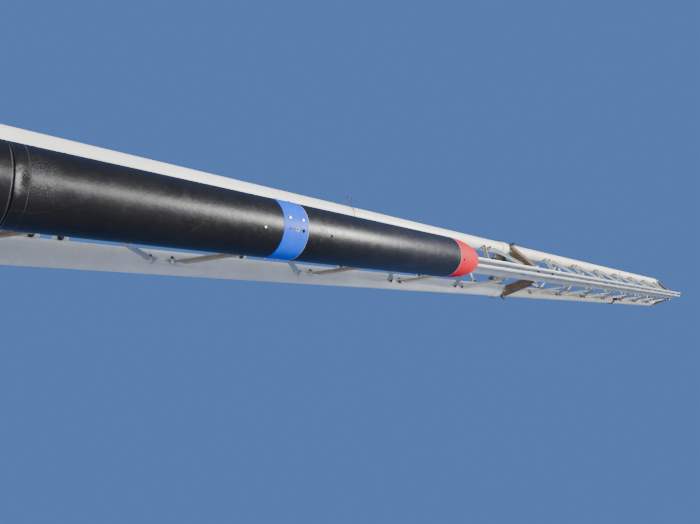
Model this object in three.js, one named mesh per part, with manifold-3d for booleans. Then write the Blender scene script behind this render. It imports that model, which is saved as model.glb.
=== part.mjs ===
// A sounding rocket on its launch mast, in millimetres, +Z up.
// The origin is on the floor under the middle of the base. Three round tubes, laced together, make
// the mast. The rocket hangs on the front (-Y) of a slotted rail, which runs up the mast's front
// tube a little left of its middle. The mast tips back (+Y) about a hinge at its foot, and the nose
// lifts off the body upwards.

import * as THREE from 'three';
import { mergeVertices } from 'three/addons/utils/BufferGeometryUtils.js';
import Module from 'manifold-3d';

const wasm = await Module();
wasm.setup();

// Contact gap kept between pieces that touch on the real object.
const GAP = 0.3;

// Rocket and rail share one vertical plane, left of the mast's middle.
const RAIL_X = -24;

// Rocket
const ROCKET_Y = -130;
const BODY_R = 75;
const BODY_BOTTOM = 175;
const JOINT_Z = 463;
const JOINT_GAP = 5;
const GROOVE_Z = 487;
const BAND_BOTTOM = 1027;
const BAND_TOP = 1107;
const NOSE_BASE = 1872;
const NOSE_LENGTH = 232;
const SHOULDER_R = 70.5;
const SHOULDER_LENGTH = 130;
const BORE_R = 71.5;
const BORE_FLOOR = 1650;
const NOZZLE_EXIT = 130;
const NOZZLE_R = 38;
const FIN_TIP_R = 195;
const FIN_THICK = 5;
const BUTTON_ZS = { lower: 255, upper: 1560 };
const ROUND = 48;

// Rail: front face towards the rocket, with the slot for the rail buttons
const RAIL_FRONT = -32;
const RAIL_WIDTH = 45;
const RAIL_DEPTH = 45;
const RAIL_BACK = RAIL_FRONT + RAIL_DEPTH;
const SLOT_WIDTH = 15;
const LIP_THICK = 6;
const CAVITY_WIDTH = 28;
const CAVITY_DEPTH = 34;
const RAIL_JOINT = 3120;
const RAIL_TOP = 7130;
const SADDLE_LENGTH = 50;

// Mast tubes: a slimmer one at the front behind the rail, two at the back
const TUBE_X = 123;
const TUBE_Y = 242;
const TUBE_R = 35;
const TUBE_WALL = 4;
const FRONT_TUBE_R = 32;
const FRONT_TUBE_Y = RAIL_BACK + GAP + FRONT_TUBE_R;
const FRONT_TUBE_TOP = 7090;
const TUBE_JOINT = 3160;
const SLEEVE_THICK = 4;
const SLEEVE_ZS = [3046, 3112];
const TUBE_TOP = 7160;

// Lacing between rail and tubes
const LACE_WIDTH = 18;
const LACE_THICK = 4;
const LACE_LEG = 13;
const LACE_SPREAD = 33;
const TAB_LENGTH = 96;
const TAB_WIDTH = 15;
const TAB_THICK = 6;

// Foot, hinge and base
const HINGE_Y = 315;
const HINGE_Z = 160;
const PIN_R = 10;
const EAR_R = 22;
const EAR_X = 85;
const EAR_THICK = 12;
const EAR_SIDE_GAP = 5;
const CLEVIS_THICK = 10;
const FOOT_BOTTOM = 172;
const FOOT_THICK = 12;
const FOOT_TOP = FOOT_BOTTOM + FOOT_THICK;
const FOOT_BACK = TUBE_Y + TUBE_R + 3;
const BEAM = 80;
const BEAM_BOTTOM = 40;
const BEAM_TOP = BEAM_BOTTOM + BEAM;
const BASE_X = 720;
const CROSS_Y = 560;
const SIDE_X = 170;
const FOOT_X = 660;
const PAD_R = 60;

const MATERIALS = {
  body: { color: 0x121316, roughness: 0.42, metalness: 0.1 },
  band: { color: 0x3f7fe0, roughness: 0.4, metalness: 0.1 },
  nose: { color: 0xe0424c, roughness: 0.38, metalness: 0.0 },
  metal: { color: 0x8d9196, roughness: 0.4, metalness: 0.9 },
  rail: { color: 0xc7cacd, roughness: 0.35, metalness: 0.85 },
  tube: { color: 0xd9d9d3, roughness: 0.5, metalness: 0.1 },
  lacing: { color: 0xaeb0ae, roughness: 0.5, metalness: 0.5 },
  primer: { color: 0x5b4637, roughness: 0.75, metalness: 0.1 },
  base: { color: 0x4d5358, roughness: 0.6, metalness: 0.2 },
};

const model = new THREE.Group();

function addMesh(name, geometry, material) {
  const mesh = new THREE.Mesh(geometry, new THREE.MeshStandardMaterial(MATERIALS[material]));
  mesh.name = name;
  model.add(mesh);
  return mesh;
}

// Geometry helpers

function signedVolume(position, index) {
  const a = new THREE.Vector3();
  const b = new THREE.Vector3();
  const c = new THREE.Vector3();
  let volume = 0;
  for (let i = 0; i < index.length; i += 3) {
    a.fromBufferAttribute(position, index[i]);
    b.fromBufferAttribute(position, index[i + 1]);
    c.fromBufferAttribute(position, index[i + 2]);
    volume += a.dot(b.cross(c)) / 6;
  }
  return volume;
}

// Merges shared corners, drops collapsed faces and turns the faces outwards.
function closed(geometry) {
  const bare = geometry.clone();
  bare.deleteAttribute('normal');
  bare.deleteAttribute('uv');
  const merged = mergeVertices(bare, 1e-4);
  const old = merged.index.array;
  let index = [];
  for (let i = 0; i < old.length; i += 3) {
    const [a, b, c] = [old[i], old[i + 1], old[i + 2]];
    if (a !== b && b !== c && c !== a) index.push(a, b, c);
  }
  if (signedVolume(merged.attributes.position, index) < 0) index = index.reverse();
  merged.setIndex(index);
  return merged;
}

function toSolid(geometry) {
  const mesh = closed(geometry);
  const vertProperties = new Float32Array(mesh.attributes.position.array);
  const triVerts = new Uint32Array(mesh.index.array);
  return new wasm.Manifold(new wasm.Mesh({ numProp: 3, vertProperties, triVerts }));
}

function toGeometry(solid) {
  const mesh = solid.getMesh();
  const geometry = new THREE.BufferGeometry();
  geometry.setAttribute('position', new THREE.BufferAttribute(new Float32Array(mesh.vertProperties), 3));
  geometry.setIndex(new THREE.BufferAttribute(new Uint32Array(mesh.triVerts), 1));
  return geometry;
}

function join(geometries, cuts = []) {
  let solid = toSolid(geometries[0]);
  for (const geometry of geometries.slice(1)) solid = solid.add(toSolid(geometry));
  for (const geometry of cuts) solid = solid.subtract(toSolid(geometry));
  return toGeometry(solid);
}

// A box between two corners.
function box(low, high) {
  const size = high.map((value, axis) => value - low[axis]);
  const centre = high.map((value, axis) => (value + low[axis]) / 2);
  return new THREE.BoxGeometry(...size).translate(...centre);
}

// A profile of [radius, height] turned about the vertical line through (x, y).
function turned(profile, x, y, sides = ROUND) {
  const points = profile.map(([r, z]) => new THREE.Vector2(r, z));
  return closed(new THREE.LatheGeometry(points, sides).rotateX(Math.PI / 2).translate(x, y, 0));
}

function pipe(rOut, rIn, z0, z1, x, y, sides) {
  const section = [[rIn, z0], [rOut, z0], [rOut, z1], [rIn, z1], [rIn, z0]];
  return turned(section, x, y, sides);
}

// An outline drawn in the Y-Z plane, extruded along X between two places.
function plateAlongX(shape, x0, x1, curveSegments = 16) {
  const flat = new THREE.ExtrudeGeometry(shape, { depth: x1 - x0, bevelEnabled: false, curveSegments });
  const turn = new THREE.Matrix4().makeBasis(
    new THREE.Vector3(0, 1, 0), new THREE.Vector3(0, 0, 1), new THREE.Vector3(1, 0, 0));
  return closed(flat.applyMatrix4(turn).translate(x0, 0, 0));
}

// An outline drawn in plan, extruded upwards.
function plateUp(shape, z0, z1) {
  const flat = new THREE.ExtrudeGeometry(shape, { depth: z1 - z0, bevelEnabled: false, curveSegments: 16 });
  return closed(flat.translate(0, 0, z0));
}

function outline(points) {
  return new THREE.Shape(points.map(([x, y]) => new THREE.Vector2(x, y)));
}

function roundHole(u, v, r) {
  return new THREE.Path().absarc(u, v, r, 0, 2 * Math.PI, true);
}

// A straight bar from one point to another, its width across `normal`.
function bar(from, to, normal, width, thick) {
  const along = new THREE.Vector3().subVectors(to, from);
  const length = along.length();
  along.normalize();
  const across = new THREE.Vector3().crossVectors(normal, along).normalize();
  const out = new THREE.Vector3().crossVectors(along, across);
  const middle = new THREE.Vector3().addVectors(from, to).multiplyScalar(0.5);
  const place = new THREE.Matrix4().makeBasis(along, across, out).setPosition(middle);
  return new THREE.BoxGeometry(length, width, thick).applyMatrix4(place);
}

// A bar as above, with flanges standing out along `normal` at the named edges, +1 or -1 across it.
function flangedBar(from, to, normal, width, thick, flange, edges) {
  const along = new THREE.Vector3().subVectors(to, from).normalize();
  const across = new THREE.Vector3().crossVectors(normal, along).normalize();
  const pieces = [bar(from, to, normal, width, thick)];
  for (const edge of edges) {
    const shift = new THREE.Vector3().copy(across).multiplyScalar(edge * (width - thick) / 2)
      .addScaledVector(normal, (flange - thick) / 2 + 0.01);
    const start = new THREE.Vector3().copy(from).add(shift);
    const end = new THREE.Vector3().copy(to).add(shift);
    pieces.push(bar(start, end, across, flange, thick));
  }
  return pieces;
}

// Rocket body, from the tail up

function nozzle() {
  const top = BODY_BOTTOM - GAP;
  const wall = 3;
  const throat = 16;
  const profile = [
    [0, top], [0, top - 8], [throat, top - 8], [NOZZLE_R - wall, NOZZLE_EXIT],
    [NOZZLE_R, NOZZLE_EXIT], [throat + 8, top - 4], [throat + 8, top], [0, top],
  ];
  return turned(profile, RAIL_X, ROCKET_Y, 32);
}

function fin(turn) {
  const root = BODY_R + GAP;
  const shape = outline([[root, 190], [FIN_TIP_R, 190], [FIN_TIP_R, 290], [root, 420]]);
  const flat = new THREE.ExtrudeGeometry(shape, { depth: FIN_THICK, bevelEnabled: false });
  flat.translate(0, 0, -FIN_THICK / 2).rotateX(Math.PI / 2);
  return closed(flat.rotateZ(turn).translate(RAIL_X, ROCKET_Y, 0));
}

function bodyTube(z0, z1) {
  return turned([[0, z0], [BODY_R, z0], [BODY_R, z1], [0, z1]], RAIL_X, ROCKET_Y);
}

function lowerTube() {
  const z0 = JOINT_Z + JOINT_GAP;
  const z1 = BAND_BOTTOM - GAP;
  const profile = [
    [0, z0], [BODY_R, z0], [BODY_R, GROOVE_Z - 1], [BODY_R - 1, GROOVE_Z - 1],
    [BODY_R - 1, GROOVE_Z + 1], [BODY_R, GROOVE_Z + 1], [BODY_R, z1], [0, z1],
  ];
  return turned(profile, RAIL_X, ROCKET_Y);
}

function upperTube() {
  const z0 = BAND_TOP + GAP;
  const profile = [[0, z0], [BODY_R, z0], [BODY_R, NOSE_BASE], [BORE_R, NOSE_BASE], [BORE_R, BORE_FLOOR],
    [0, BORE_FLOOR]];
  return turned(profile, RAIL_X, ROCKET_Y);
}

// Half an ellipsoid, with the shoulder that sits in the tube.
function noseCone() {
  const base = NOSE_BASE + GAP;
  const profile = [[0, base - SHOULDER_LENGTH], [SHOULDER_R, base - SHOULDER_LENGTH], [SHOULDER_R, base],
    [BODY_R, base]];
  const steps = 16;
  for (let i = 1; i <= steps; i += 1) {
    const a = (i / steps) * (Math.PI / 2);
    profile.push([i === steps ? 0 : BODY_R * Math.cos(a), base + NOSE_LENGTH * Math.sin(a)]);
  }
  return turned(profile, RAIL_X, ROCKET_Y);
}

// A round button: standoff on the body, neck through the lips, head behind them.
function railButton(z) {
  const lip = RAIL_FRONT + LIP_THICK;
  const profile = [
    [0, ROCKET_Y + BODY_R + GAP], [14, ROCKET_Y + BODY_R + GAP], [14, RAIL_FRONT - GAP - 1],
    [6, RAIL_FRONT - GAP - 1], [6, lip + 1], [12, lip + 1], [12, lip + 8], [0, lip + 8],
  ];
  const points = profile.map(([r, y]) => new THREE.Vector2(r, y));
  return closed(new THREE.LatheGeometry(points, 24).translate(RAIL_X, 0, z));
}

addMesh('nozzle', nozzle(), 'metal');
addMesh('tail_section', bodyTube(BODY_BOTTOM, JOINT_Z), 'body');
const FINS = [['front_right', -45], ['rear_right', 45], ['rear_left', 135], ['front_left', 225]];
for (const [name, degrees] of FINS) {
  addMesh(`fin_${name}`, fin(THREE.MathUtils.degToRad(degrees)), 'body');
}
addMesh('joint_ring', turned([
  [0, JOINT_Z + GAP], [BODY_R - 2, JOINT_Z + GAP],
  [BODY_R - 2, JOINT_Z + JOINT_GAP - GAP], [0, JOINT_Z + JOINT_GAP - GAP],
], RAIL_X, ROCKET_Y), 'metal');
addMesh('lower_tube', lowerTube(), 'body');
addMesh('colour_band', bodyTube(BAND_BOTTOM, BAND_TOP), 'band');
addMesh('upper_tube', upperTube(), 'body');
addMesh('nose_cone', noseCone(), 'nose');
for (const [name, z] of Object.entries(BUTTON_ZS)) addMesh(`rail_button_${name}`, railButton(z), 'metal');

// Rail and mast tubes

function railShape() {
  const w = RAIL_WIDTH / 2;
  const s = SLOT_WIDTH / 2;
  const c = CAVITY_WIDTH / 2;
  const lip = RAIL_FRONT + LIP_THICK;
  const floor = lip + CAVITY_DEPTH;
  const groove = [RAIL_FRONT + 17, RAIL_FRONT + 27];
  const half = [
    [s, RAIL_FRONT], [w, RAIL_FRONT], [w, groove[0]], [w - 3, groove[0]], [w - 3, groove[1]],
    [w, groove[1]], [w, RAIL_BACK],
  ];
  const left = half.map(([x, y]) => [-x, y]).reverse();
  const slot = [[-s, lip], [-c, lip], [-c, floor], [c, floor], [c, lip], [s, lip]];
  return outline([...half, ...left, ...slot].map(([x, y]) => [x + RAIL_X, y]));
}

// One length of rail with the saddles that seat it on the front tube.
function rail(z0, z1, saddles) {
  const pieces = [plateUp(railShape(), z0, z1)];
  const right = RAIL_X + RAIL_WIDTH / 2 + 6;
  for (const z of saddles) {
    pieces.push(box([RAIL_X - 18, RAIL_BACK - 1, z], [right, FRONT_TUBE_Y - 6, z + SADDLE_LENGTH]));
  }
  const clear = FRONT_TUBE_R + GAP;
  const tube = [[0, z0 - 1], [clear, z0 - 1], [clear, z1 + 1], [0, z1 + 1]];
  return join(pieces, [turned(tube, 0, FRONT_TUBE_Y, 32)]);
}

const SADDLES = { lower: [300, 950, 1600, 2250, 2900], upper: [3330, 3980, 4690, 5440, 6190, 6840] };
addMesh('rail_lower', rail(FOOT_TOP + GAP, RAIL_JOINT, SADDLES.lower), 'rail');
addMesh('rail_upper', rail(RAIL_JOINT + GAP, RAIL_TOP, SADDLES.upper), 'rail');

const mastTube = (x, y, r, z0, z1) => pipe(r, r - TUBE_WALL, z0, z1, x, y, 32);
const frontTube = (z0, z1) => mastTube(0, FRONT_TUBE_Y, FRONT_TUBE_R, z0, z1);
addMesh('mast_tube_front_lower', frontTube(FOOT_TOP + GAP, TUBE_JOINT), 'tube');
addMesh('mast_tube_front_upper', frontTube(TUBE_JOINT + GAP, FRONT_TUBE_TOP), 'tube');
const SIDES = [['left', -1], ['right', 1]];
for (const [side, sign] of SIDES) {
  const x = sign * TUBE_X;
  addMesh(`mast_tube_${side}_lower`, mastTube(x, TUBE_Y, TUBE_R, FOOT_TOP + GAP, TUBE_JOINT), 'tube');
  addMesh(`mast_tube_${side}_upper`, mastTube(x, TUBE_Y, TUBE_R, TUBE_JOINT + GAP, TUBE_TOP), 'tube');
  const sleeve = pipe(TUBE_R + SLEEVE_THICK, TUBE_R + GAP, ...SLEEVE_ZS, x, TUBE_Y, 32);
  addMesh(`tube_sleeve_${side}`, sleeve, 'tube');
}

// Lacing of angle bars with flat ends. Each face of the mast runs between two upright lines, a on one
// tube and b on the other, and the legs of the angles point out of the mast.
function onTube(x, y, radius, degrees) {
  const turn = THREE.MathUtils.degToRad(degrees);
  const r = radius + GAP - 1;
  return [x + r * Math.cos(turn), y + r * Math.sin(turn)];
}

const FRONT_EDGE = onTube(0, FRONT_TUBE_Y, FRONT_TUBE_R, 20);
const BACK_EDGE = onTube(TUBE_X, TUBE_Y, TUBE_R, 255);
const INNER_X = TUBE_X - TUBE_R - GAP;
const MAST_MIDDLE_Y = (FRONT_TUBE_Y + 2 * TUBE_Y) / 3;
const FACES = {
  left: { a: [-FRONT_EDGE[0], FRONT_EDGE[1]], b: [-BACK_EDGE[0], BACK_EDGE[1]] },
  right: { a: FRONT_EDGE, b: BACK_EDGE },
  rear: { a: [-INNER_X, TUBE_Y], b: [INNER_X, TUBE_Y] },
};

// Cuts pieces back to a small gap from the three tubes.
function clearOfTubes(pieces, z0, z1) {
  const places = [[0, FRONT_TUBE_Y, FRONT_TUBE_R], [-TUBE_X, TUBE_Y, TUBE_R], [TUBE_X, TUBE_Y, TUBE_R]];
  const cuts = places.map(([x, y, r]) => turned([[0, z0], [r + GAP, z0], [r + GAP, z1], [0, z1]], x, y, 32));
  return join(pieces, cuts);
}

function lacing({ a, b }, firstZ, step, count, startsAtA) {
  const edges = startsAtA ? [a, b] : [b, a];
  const inward = new THREE.Vector2(b[0] - a[0], b[1] - a[1]).normalize();
  const normal = new THREE.Vector3(inward.y, -inward.x, 0);
  const fromMiddle = new THREE.Vector3((a[0] + b[0]) / 2, (a[1] + b[1]) / 2 - MAST_MIDDLE_Y, 0);
  if (normal.dot(fromMiddle) < 0) normal.negate();
  const pieces = [];
  const nodes = [];
  for (let i = 0; i < count; i += 1) {
    const edge = edges[i % 2];
    const toward = edge === a ? 1 : -1;
    const at = (inset, z) => new THREE.Vector3(
      edge[0] + inward.x * inset * toward, edge[1] + inward.y * inset * toward, z);
    nodes.push({ at, z: firstZ + i * step });
  }
  for (const { at, z } of nodes) {
    const low = at(TAB_WIDTH / 2, z - TAB_LENGTH / 2);
    const high = at(TAB_WIDTH / 2, z + TAB_LENGTH / 2);
    pieces.push(bar(low, high, normal, TAB_WIDTH, TAB_THICK));
  }
  for (let i = 0; i + 1 < nodes.length; i += 1) {
    const [lower, upper] = [nodes[i], nodes[i + 1]];
    const from = lower.at(TAB_WIDTH * 0.62, lower.z + LACE_SPREAD);
    const to = upper.at(TAB_WIDTH * 0.62, upper.z - LACE_SPREAD);
    const upperEdge = Math.sign(normal.x * (to.y - from.y) - normal.y * (to.x - from.x));
    pieces.push(...flangedBar(from, to, normal, LACE_WIDTH, LACE_THICK, LACE_LEG, [upperEdge]));
  }
  return clearOfTubes(pieces, firstZ - TAB_LENGTH, firstZ + count * step);
}

// Columns: face, section, height of the first node, step between nodes, count, first node on line a.
const LACINGS = [
  ['left', 'lower', 359, 275, 11, true],
  ['right', 'lower', 403, 275, 10, false],
  ['rear', 'lower', 390, 275, 10, true],
  ['left', 'upper', 3441, 270, 14, true],
  ['right', 'upper', 3484, 269, 14, false],
  ['rear', 'upper', 3491, 268, 14, true],
];
for (const [face, section, firstZ, step, count, startsAtA] of LACINGS) {
  addMesh(`lacing_${face}_${section}`, lacing(FACES[face], firstZ, step, count, startsAtA), 'lacing');
}

// Channel braces with an upright web. It lies against the front of a back tube and rises to the front
// tube's side, and the flanges point into the mast.
const BRACE_FROM = [FRONT_TUBE_R, FRONT_TUBE_Y - 6.5];
const BRACE_END_X = TUBE_X + TUBE_R - 4;

function channelBrace(sign, tubeZ, frontZ, width, flange, wall) {
  const toTube = Math.atan2(TUBE_Y - BRACE_FROM[1], TUBE_X - BRACE_FROM[0]);
  const distance = Math.hypot(TUBE_X - BRACE_FROM[0], TUBE_Y - BRACE_FROM[1]);
  const turn = toTube - Math.asin((TUBE_R + GAP + wall / 2) / distance);
  const endY = BRACE_FROM[1] + (BRACE_END_X - BRACE_FROM[0]) * Math.tan(turn);
  const from = new THREE.Vector3(sign * BRACE_END_X, endY, tubeZ);
  const to = new THREE.Vector3(sign * BRACE_FROM[0], BRACE_FROM[1], frontZ);
  const normal = new THREE.Vector3(-sign * Math.sin(turn), Math.cos(turn), 0);
  const pieces = flangedBar(from, to, normal, width, wall, flange, [-1, 1]);
  return clearOfTubes(pieces, tubeZ - width, frontZ + width);
}

for (const [side, sign] of SIDES) {
  addMesh(`middle_brace_${side}`, channelBrace(sign, 3165, 3215, 70, 46, 5), 'primer');
  addMesh(`top_brace_${side}`, channelBrace(sign, 7070, 7072, 30, 20, 3), 'primer');
}
const PLATE_X = INNER_X - SLEEVE_THICK;
addMesh('middle_plate', join(
  [box([-PLATE_X, TUBE_Y - 3, 3015], [PLATE_X, TUBE_Y + 3, 3178])],
  [-50, 0, 50].map((x) => new THREE.CylinderGeometry(9, 9, 20, 16).translate(x, TUBE_Y, 3097))), 'primer');
addMesh('top_plate', box([-INNER_X, TUBE_Y - 3, 7030], [INNER_X, TUBE_Y + 3, 7100]), 'primer');
addMesh('tube_clamp', join([
  pipe(TUBE_R + 5, TUBE_R + GAP, 5440, 5480, TUBE_X, TUBE_Y, 32),
  box([TUBE_X - 22, TUBE_Y - TUBE_R - 22, 5440], [TUBE_X + 2, TUBE_Y - TUBE_R - 1, 5480]),
]), 'base');

// Stop in the rail's slot, under the lower button.
addMesh('rail_stop', join([
  box([RAIL_X - 14, RAIL_FRONT - 20, 205], [RAIL_X + 14, RAIL_FRONT - GAP, BUTTON_ZS.lower - 14 - GAP]),
  box([RAIL_X - 6, RAIL_FRONT - 2, 210], [RAIL_X + 6, RAIL_FRONT + 12, 232]),
]), 'metal');

// Mast foot and its hinge

addMesh('foot_plate', plateUp(outline([
  [-60, -45], [60, -45], [165, 200], [165, FOOT_BACK], [-165, FOOT_BACK], [-165, 200],
]), FOOT_BOTTOM, FOOT_TOP), 'primer');

function footEar() {
  const under = FOOT_BOTTOM - GAP;
  const front = HINGE_Y - 100;
  const back = FOOT_BACK + GAP;
  const shape = new THREE.Shape();
  shape.moveTo(front, under);
  shape.lineTo(front, under - 18);
  shape.lineTo(HINGE_Y - 8, HINGE_Z - EAR_R + 2);
  shape.absarc(HINGE_Y, HINGE_Z, EAR_R, -Math.PI / 2, Math.PI / 2, false);
  shape.lineTo(back + 4, HINGE_Z + EAR_R - 4);
  shape.lineTo(back, under);
  shape.closePath();
  shape.holes.push(roundHole(HINGE_Y, HINGE_Z, PIN_R + GAP));
  return shape;
}

function clevisEar() {
  const base = BEAM_TOP + GAP;
  const shape = new THREE.Shape();
  shape.moveTo(HINGE_Y - 34, base);
  shape.lineTo(HINGE_Y + 34, base);
  shape.absarc(HINGE_Y, HINGE_Z, EAR_R, 0.4, Math.PI - 0.4, false);
  shape.closePath();
  shape.holes.push(roundHole(HINGE_Y, HINGE_Z, PIN_R + GAP));
  return shape;
}

for (const [side, sign] of SIDES) {
  const centre = sign * EAR_X;
  const half = EAR_THICK / 2;
  addMesh(`foot_ear_${side}`, plateAlongX(footEar(), centre - half, centre + half), 'primer');
  const inner = half + EAR_SIDE_GAP;
  const plates = [-1, 1].map((edge) => {
    const from = centre + edge * inner;
    const to = centre + edge * (inner + CLEVIS_THICK);
    return plateAlongX(clevisEar(), Math.min(from, to), Math.max(from, to));
  });
  const reach = inner + CLEVIS_THICK + 4;
  const sole = [HINGE_Y - 38, HINGE_Y + 38];
  plates.push(box([centre - reach, sole[0], BEAM_TOP + GAP], [centre + reach, sole[1], BEAM_TOP + 8]));
  addMesh(`hinge_clevis_${side}`, join(plates), 'base');
  const pinHalf = inner + CLEVIS_THICK + 6;
  const shaft = [
    [0, -pinHalf], [PIN_R, -pinHalf], [PIN_R, pinHalf - 5], [16, pinHalf - 5], [16, pinHalf], [0, pinHalf],
  ];
  const pin = new THREE.LatheGeometry(shaft.map(([r, h]) => new THREE.Vector2(r, h)), 32);
  pin.rotateZ(-sign * Math.PI / 2).translate(centre, HINGE_Y, HINGE_Z);
  addMesh(`hinge_pin_${side}`, closed(pin), 'metal');
}

// Base frame, feet, stop and blast plate

const CROSS = [CROSS_Y - BEAM / 2, CROSS_Y + BEAM / 2];
addMesh('cross_beam_front', box([-BASE_X, -CROSS[1], BEAM_BOTTOM], [BASE_X, -CROSS[0], BEAM_TOP]), 'base');
addMesh('cross_beam_rear', box([-BASE_X, CROSS[0], BEAM_BOTTOM], [BASE_X, CROSS[1], BEAM_TOP]), 'base');
const SIDE_IN = SIDE_X - BEAM / 2;
for (const [side, sign] of SIDES) {
  const xs = [sign * SIDE_IN, sign * (SIDE_X + BEAM / 2)].sort((p, q) => p - q);
  const end = CROSS[0] - GAP;
  addMesh(`side_beam_${side}`, box([xs[0], -end, BEAM_BOTTOM], [xs[1], end, BEAM_TOP]), 'base');
}
const INSIDE = SIDE_IN - GAP;
addMesh('hinge_beam', box([-INSIDE, HINGE_Y - 40, BEAM_BOTTOM], [INSIDE, HINGE_Y + 40, BEAM_TOP]), 'base');
addMesh('stop_beam', box([-INSIDE, -60, BEAM_BOTTOM], [INSIDE, 20, BEAM_TOP]), 'base');
addMesh('stop_block', box([-50, -42, BEAM_TOP + GAP], [50, 8, FOOT_BOTTOM - GAP]), 'base');
addMesh('blast_plate', plateAlongX(outline([
  [-340, 46], [-300, 46], [-88, 108], [-64, 108], [-64, 114], [-89, 114], [-301, 52], [-340, 52],
]), -INSIDE, INSIDE), 'metal');
for (const [side, sign] of SIDES) {
  const rest = [sign * TUBE_X - 30, sign * TUBE_X + 30];
  const restTop = HINGE_Z + HINGE_Y - TUBE_Y - TUBE_R - EAR_SIDE_GAP;
  const low = [rest[0], CROSS_Y - 30, BEAM_TOP + GAP];
  addMesh(`mast_rest_${side}`, box(low, [rest[1], CROSS_Y + 30, restTop]), 'base');
  for (const [end, along] of [['front', -1], ['rear', 1]]) {
    const top = BEAM_BOTTOM - GAP;
    const profile = [[0, 0], [PAD_R, 0], [PAD_R, 10], [22, 18], [14, 18], [14, top], [0, top]];
    addMesh(`levelling_foot_${end}_${side}`, turned(profile, sign * FOOT_X, along * CROSS_Y, 32), 'metal');
  }
}

export default model;
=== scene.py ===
"""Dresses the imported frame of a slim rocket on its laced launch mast."""

import math

import bmesh
import bpy
from mathutils import Matrix, Vector


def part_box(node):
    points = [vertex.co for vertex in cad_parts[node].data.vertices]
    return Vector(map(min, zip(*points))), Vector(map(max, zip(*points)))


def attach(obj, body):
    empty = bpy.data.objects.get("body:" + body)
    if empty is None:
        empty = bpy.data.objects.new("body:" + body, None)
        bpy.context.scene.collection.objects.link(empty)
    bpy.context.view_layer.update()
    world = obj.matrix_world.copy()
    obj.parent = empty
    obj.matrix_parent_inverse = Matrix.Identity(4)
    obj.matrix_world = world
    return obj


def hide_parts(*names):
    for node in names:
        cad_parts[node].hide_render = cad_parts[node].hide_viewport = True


bl_info = {
    "name": "Launch Mast and Rocket",
    "version": (1, 0, 0),
    "blender": (4, 5, 0),
    "location": "View3D > Sidebar > Launch Mast",
    "description": "Builds the looks of a slim rocket on its laced launch mast",
    "category": "Object",
}

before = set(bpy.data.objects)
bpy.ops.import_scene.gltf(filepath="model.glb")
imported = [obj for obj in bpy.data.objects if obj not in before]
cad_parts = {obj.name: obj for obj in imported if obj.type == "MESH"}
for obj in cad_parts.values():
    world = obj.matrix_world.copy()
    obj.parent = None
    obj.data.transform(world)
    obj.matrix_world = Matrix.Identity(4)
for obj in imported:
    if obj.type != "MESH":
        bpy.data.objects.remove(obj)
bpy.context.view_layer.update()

# Sizes in millimetres, as in the frame. Pieces are drawn in millimetres and scaled once at the end.
MM = 0.001
GAP = 0.3
RAIL_X = -24.0
ROCKET_Y = -130.0
ROCKET = (RAIL_X, ROCKET_Y)
BODY_R = 75.0
# The blue band stands just over the skin. Chamfered ends and the small rings start just under it.
BAND_R, END_R = 75.2, 74.2
SKIN_STEPS = 128
BODY_BOTTOM = 175.0
SCREW_Z = 184.0
SEAM_LOW, SEAM_HIGH = 459.6, 461.9
GROOVE_Z = 483.5
BAND_BOTTOM, BAND_TOP = 1027.0, 1107.0
NOSE_BASE, NOSE_LENGTH = 1872.3, 232.0
SHOULDER_R, SHOULDER_LENGTH = 70.5, 130.0
BORE_R, BORE_FLOOR = 71.5, 1650.0
FIN_ANGLES = {"front_right": -45, "rear_right": 45, "rear_left": 135, "front_left": 225}
RAIL_FRONT, RAIL_BACK, RAIL_HALF = -32.0, 13.0, 22.5
RAIL_FLOOR, RAIL_JOINT, RAIL_TOP = 184.3, 3120.0, 7130.0
LIP_BACK, CAVITY_BACK = -26.0, 8.0
TUBE_X, TUBE_Y, TUBE_R, TUBE_WALL = 123.0, 242.0, 35.0, 4.0
FRONT_TUBE_Y, FRONT_TUBE_R, FRONT_TUBE_TOP = 45.3, 32.0, 7090.0
TUBE_JOINT, TUBE_TOP = 3160.0, 7160.0
TUBES = {
    "front": (0.0, FRONT_TUBE_Y, FRONT_TUBE_R, FRONT_TUBE_TOP),
    "left": (-TUBE_X, TUBE_Y, TUBE_R, TUBE_TOP),
    "right": (TUBE_X, TUBE_Y, TUBE_R, TUBE_TOP),
}
SLEEVE = (3046.0, 3112.0)
SADDLES = {
    "lower": (300, 950, 1600, 2250, 2900),
    "upper": (3330, 3980, 4690, 5440, 6190, 6840),
}
WELD_STEP = 4.0
WIRE_R, WIRE_SIDES = 0.9, 8
TAB_WIDTH, TAB_THICK = 15.0, 3.2
LACE_WIDTH, LACE_THICK, LACE_LEG = 18.0, 3.0, 14.0
# Level, height of the web's end at the back tube and at the front tube, web, flange and wall.
BRACES = (
    ("middle", 3165.0, 3215.0, 70.0, 46.0, 5.0),
    ("top", 7070.0, 7072.0, 30.0, 20.0, 3.0),
)
BRACE_FROM = (FRONT_TUBE_R, FRONT_TUBE_Y - 6.5)
BRACE_END_X = TUBE_X + TUBE_R - 4
HINGE_Y, HINGE_Z, EAR_X = 315.0, 160.0, 85.0
FOOT_BACK = TUBE_Y + TUBE_R + 3
BEAM_BOTTOM, BEAM_TOP, BASE_X, CROSS_Y, FOOT_X = 40.0, 120.0, 720.0, 560.0, 660.0
FOOT_TOP = 184.0
SIDES = (("left", -1), ("right", 1))
# Face, section, first height, step, count, and whether the first node is on the front tube.
LACINGS = (
    ("left", "lower", 359, 275, 11, True),
    ("right", "lower", 403, 275, 10, False),
    ("rear", "lower", 390, 275, 10, True),
    ("left", "upper", 3441, 270, 14, True),
    ("right", "upper", 3484, 269, 14, False),
    ("rear", "upper", 3491, 268, 14, True),
)
# Bars of the lower section that are tan, counted from below.
TAN_BARS = {"left": (3, 8), "right": (0, 2, 4, 6), "rear": (3, 8)}

# Edges that bend by more than this many degrees stay sharp, and those of round wires by more than the second.
SHARP, SHARP_ROUND = 32.0, 60.0

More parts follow.
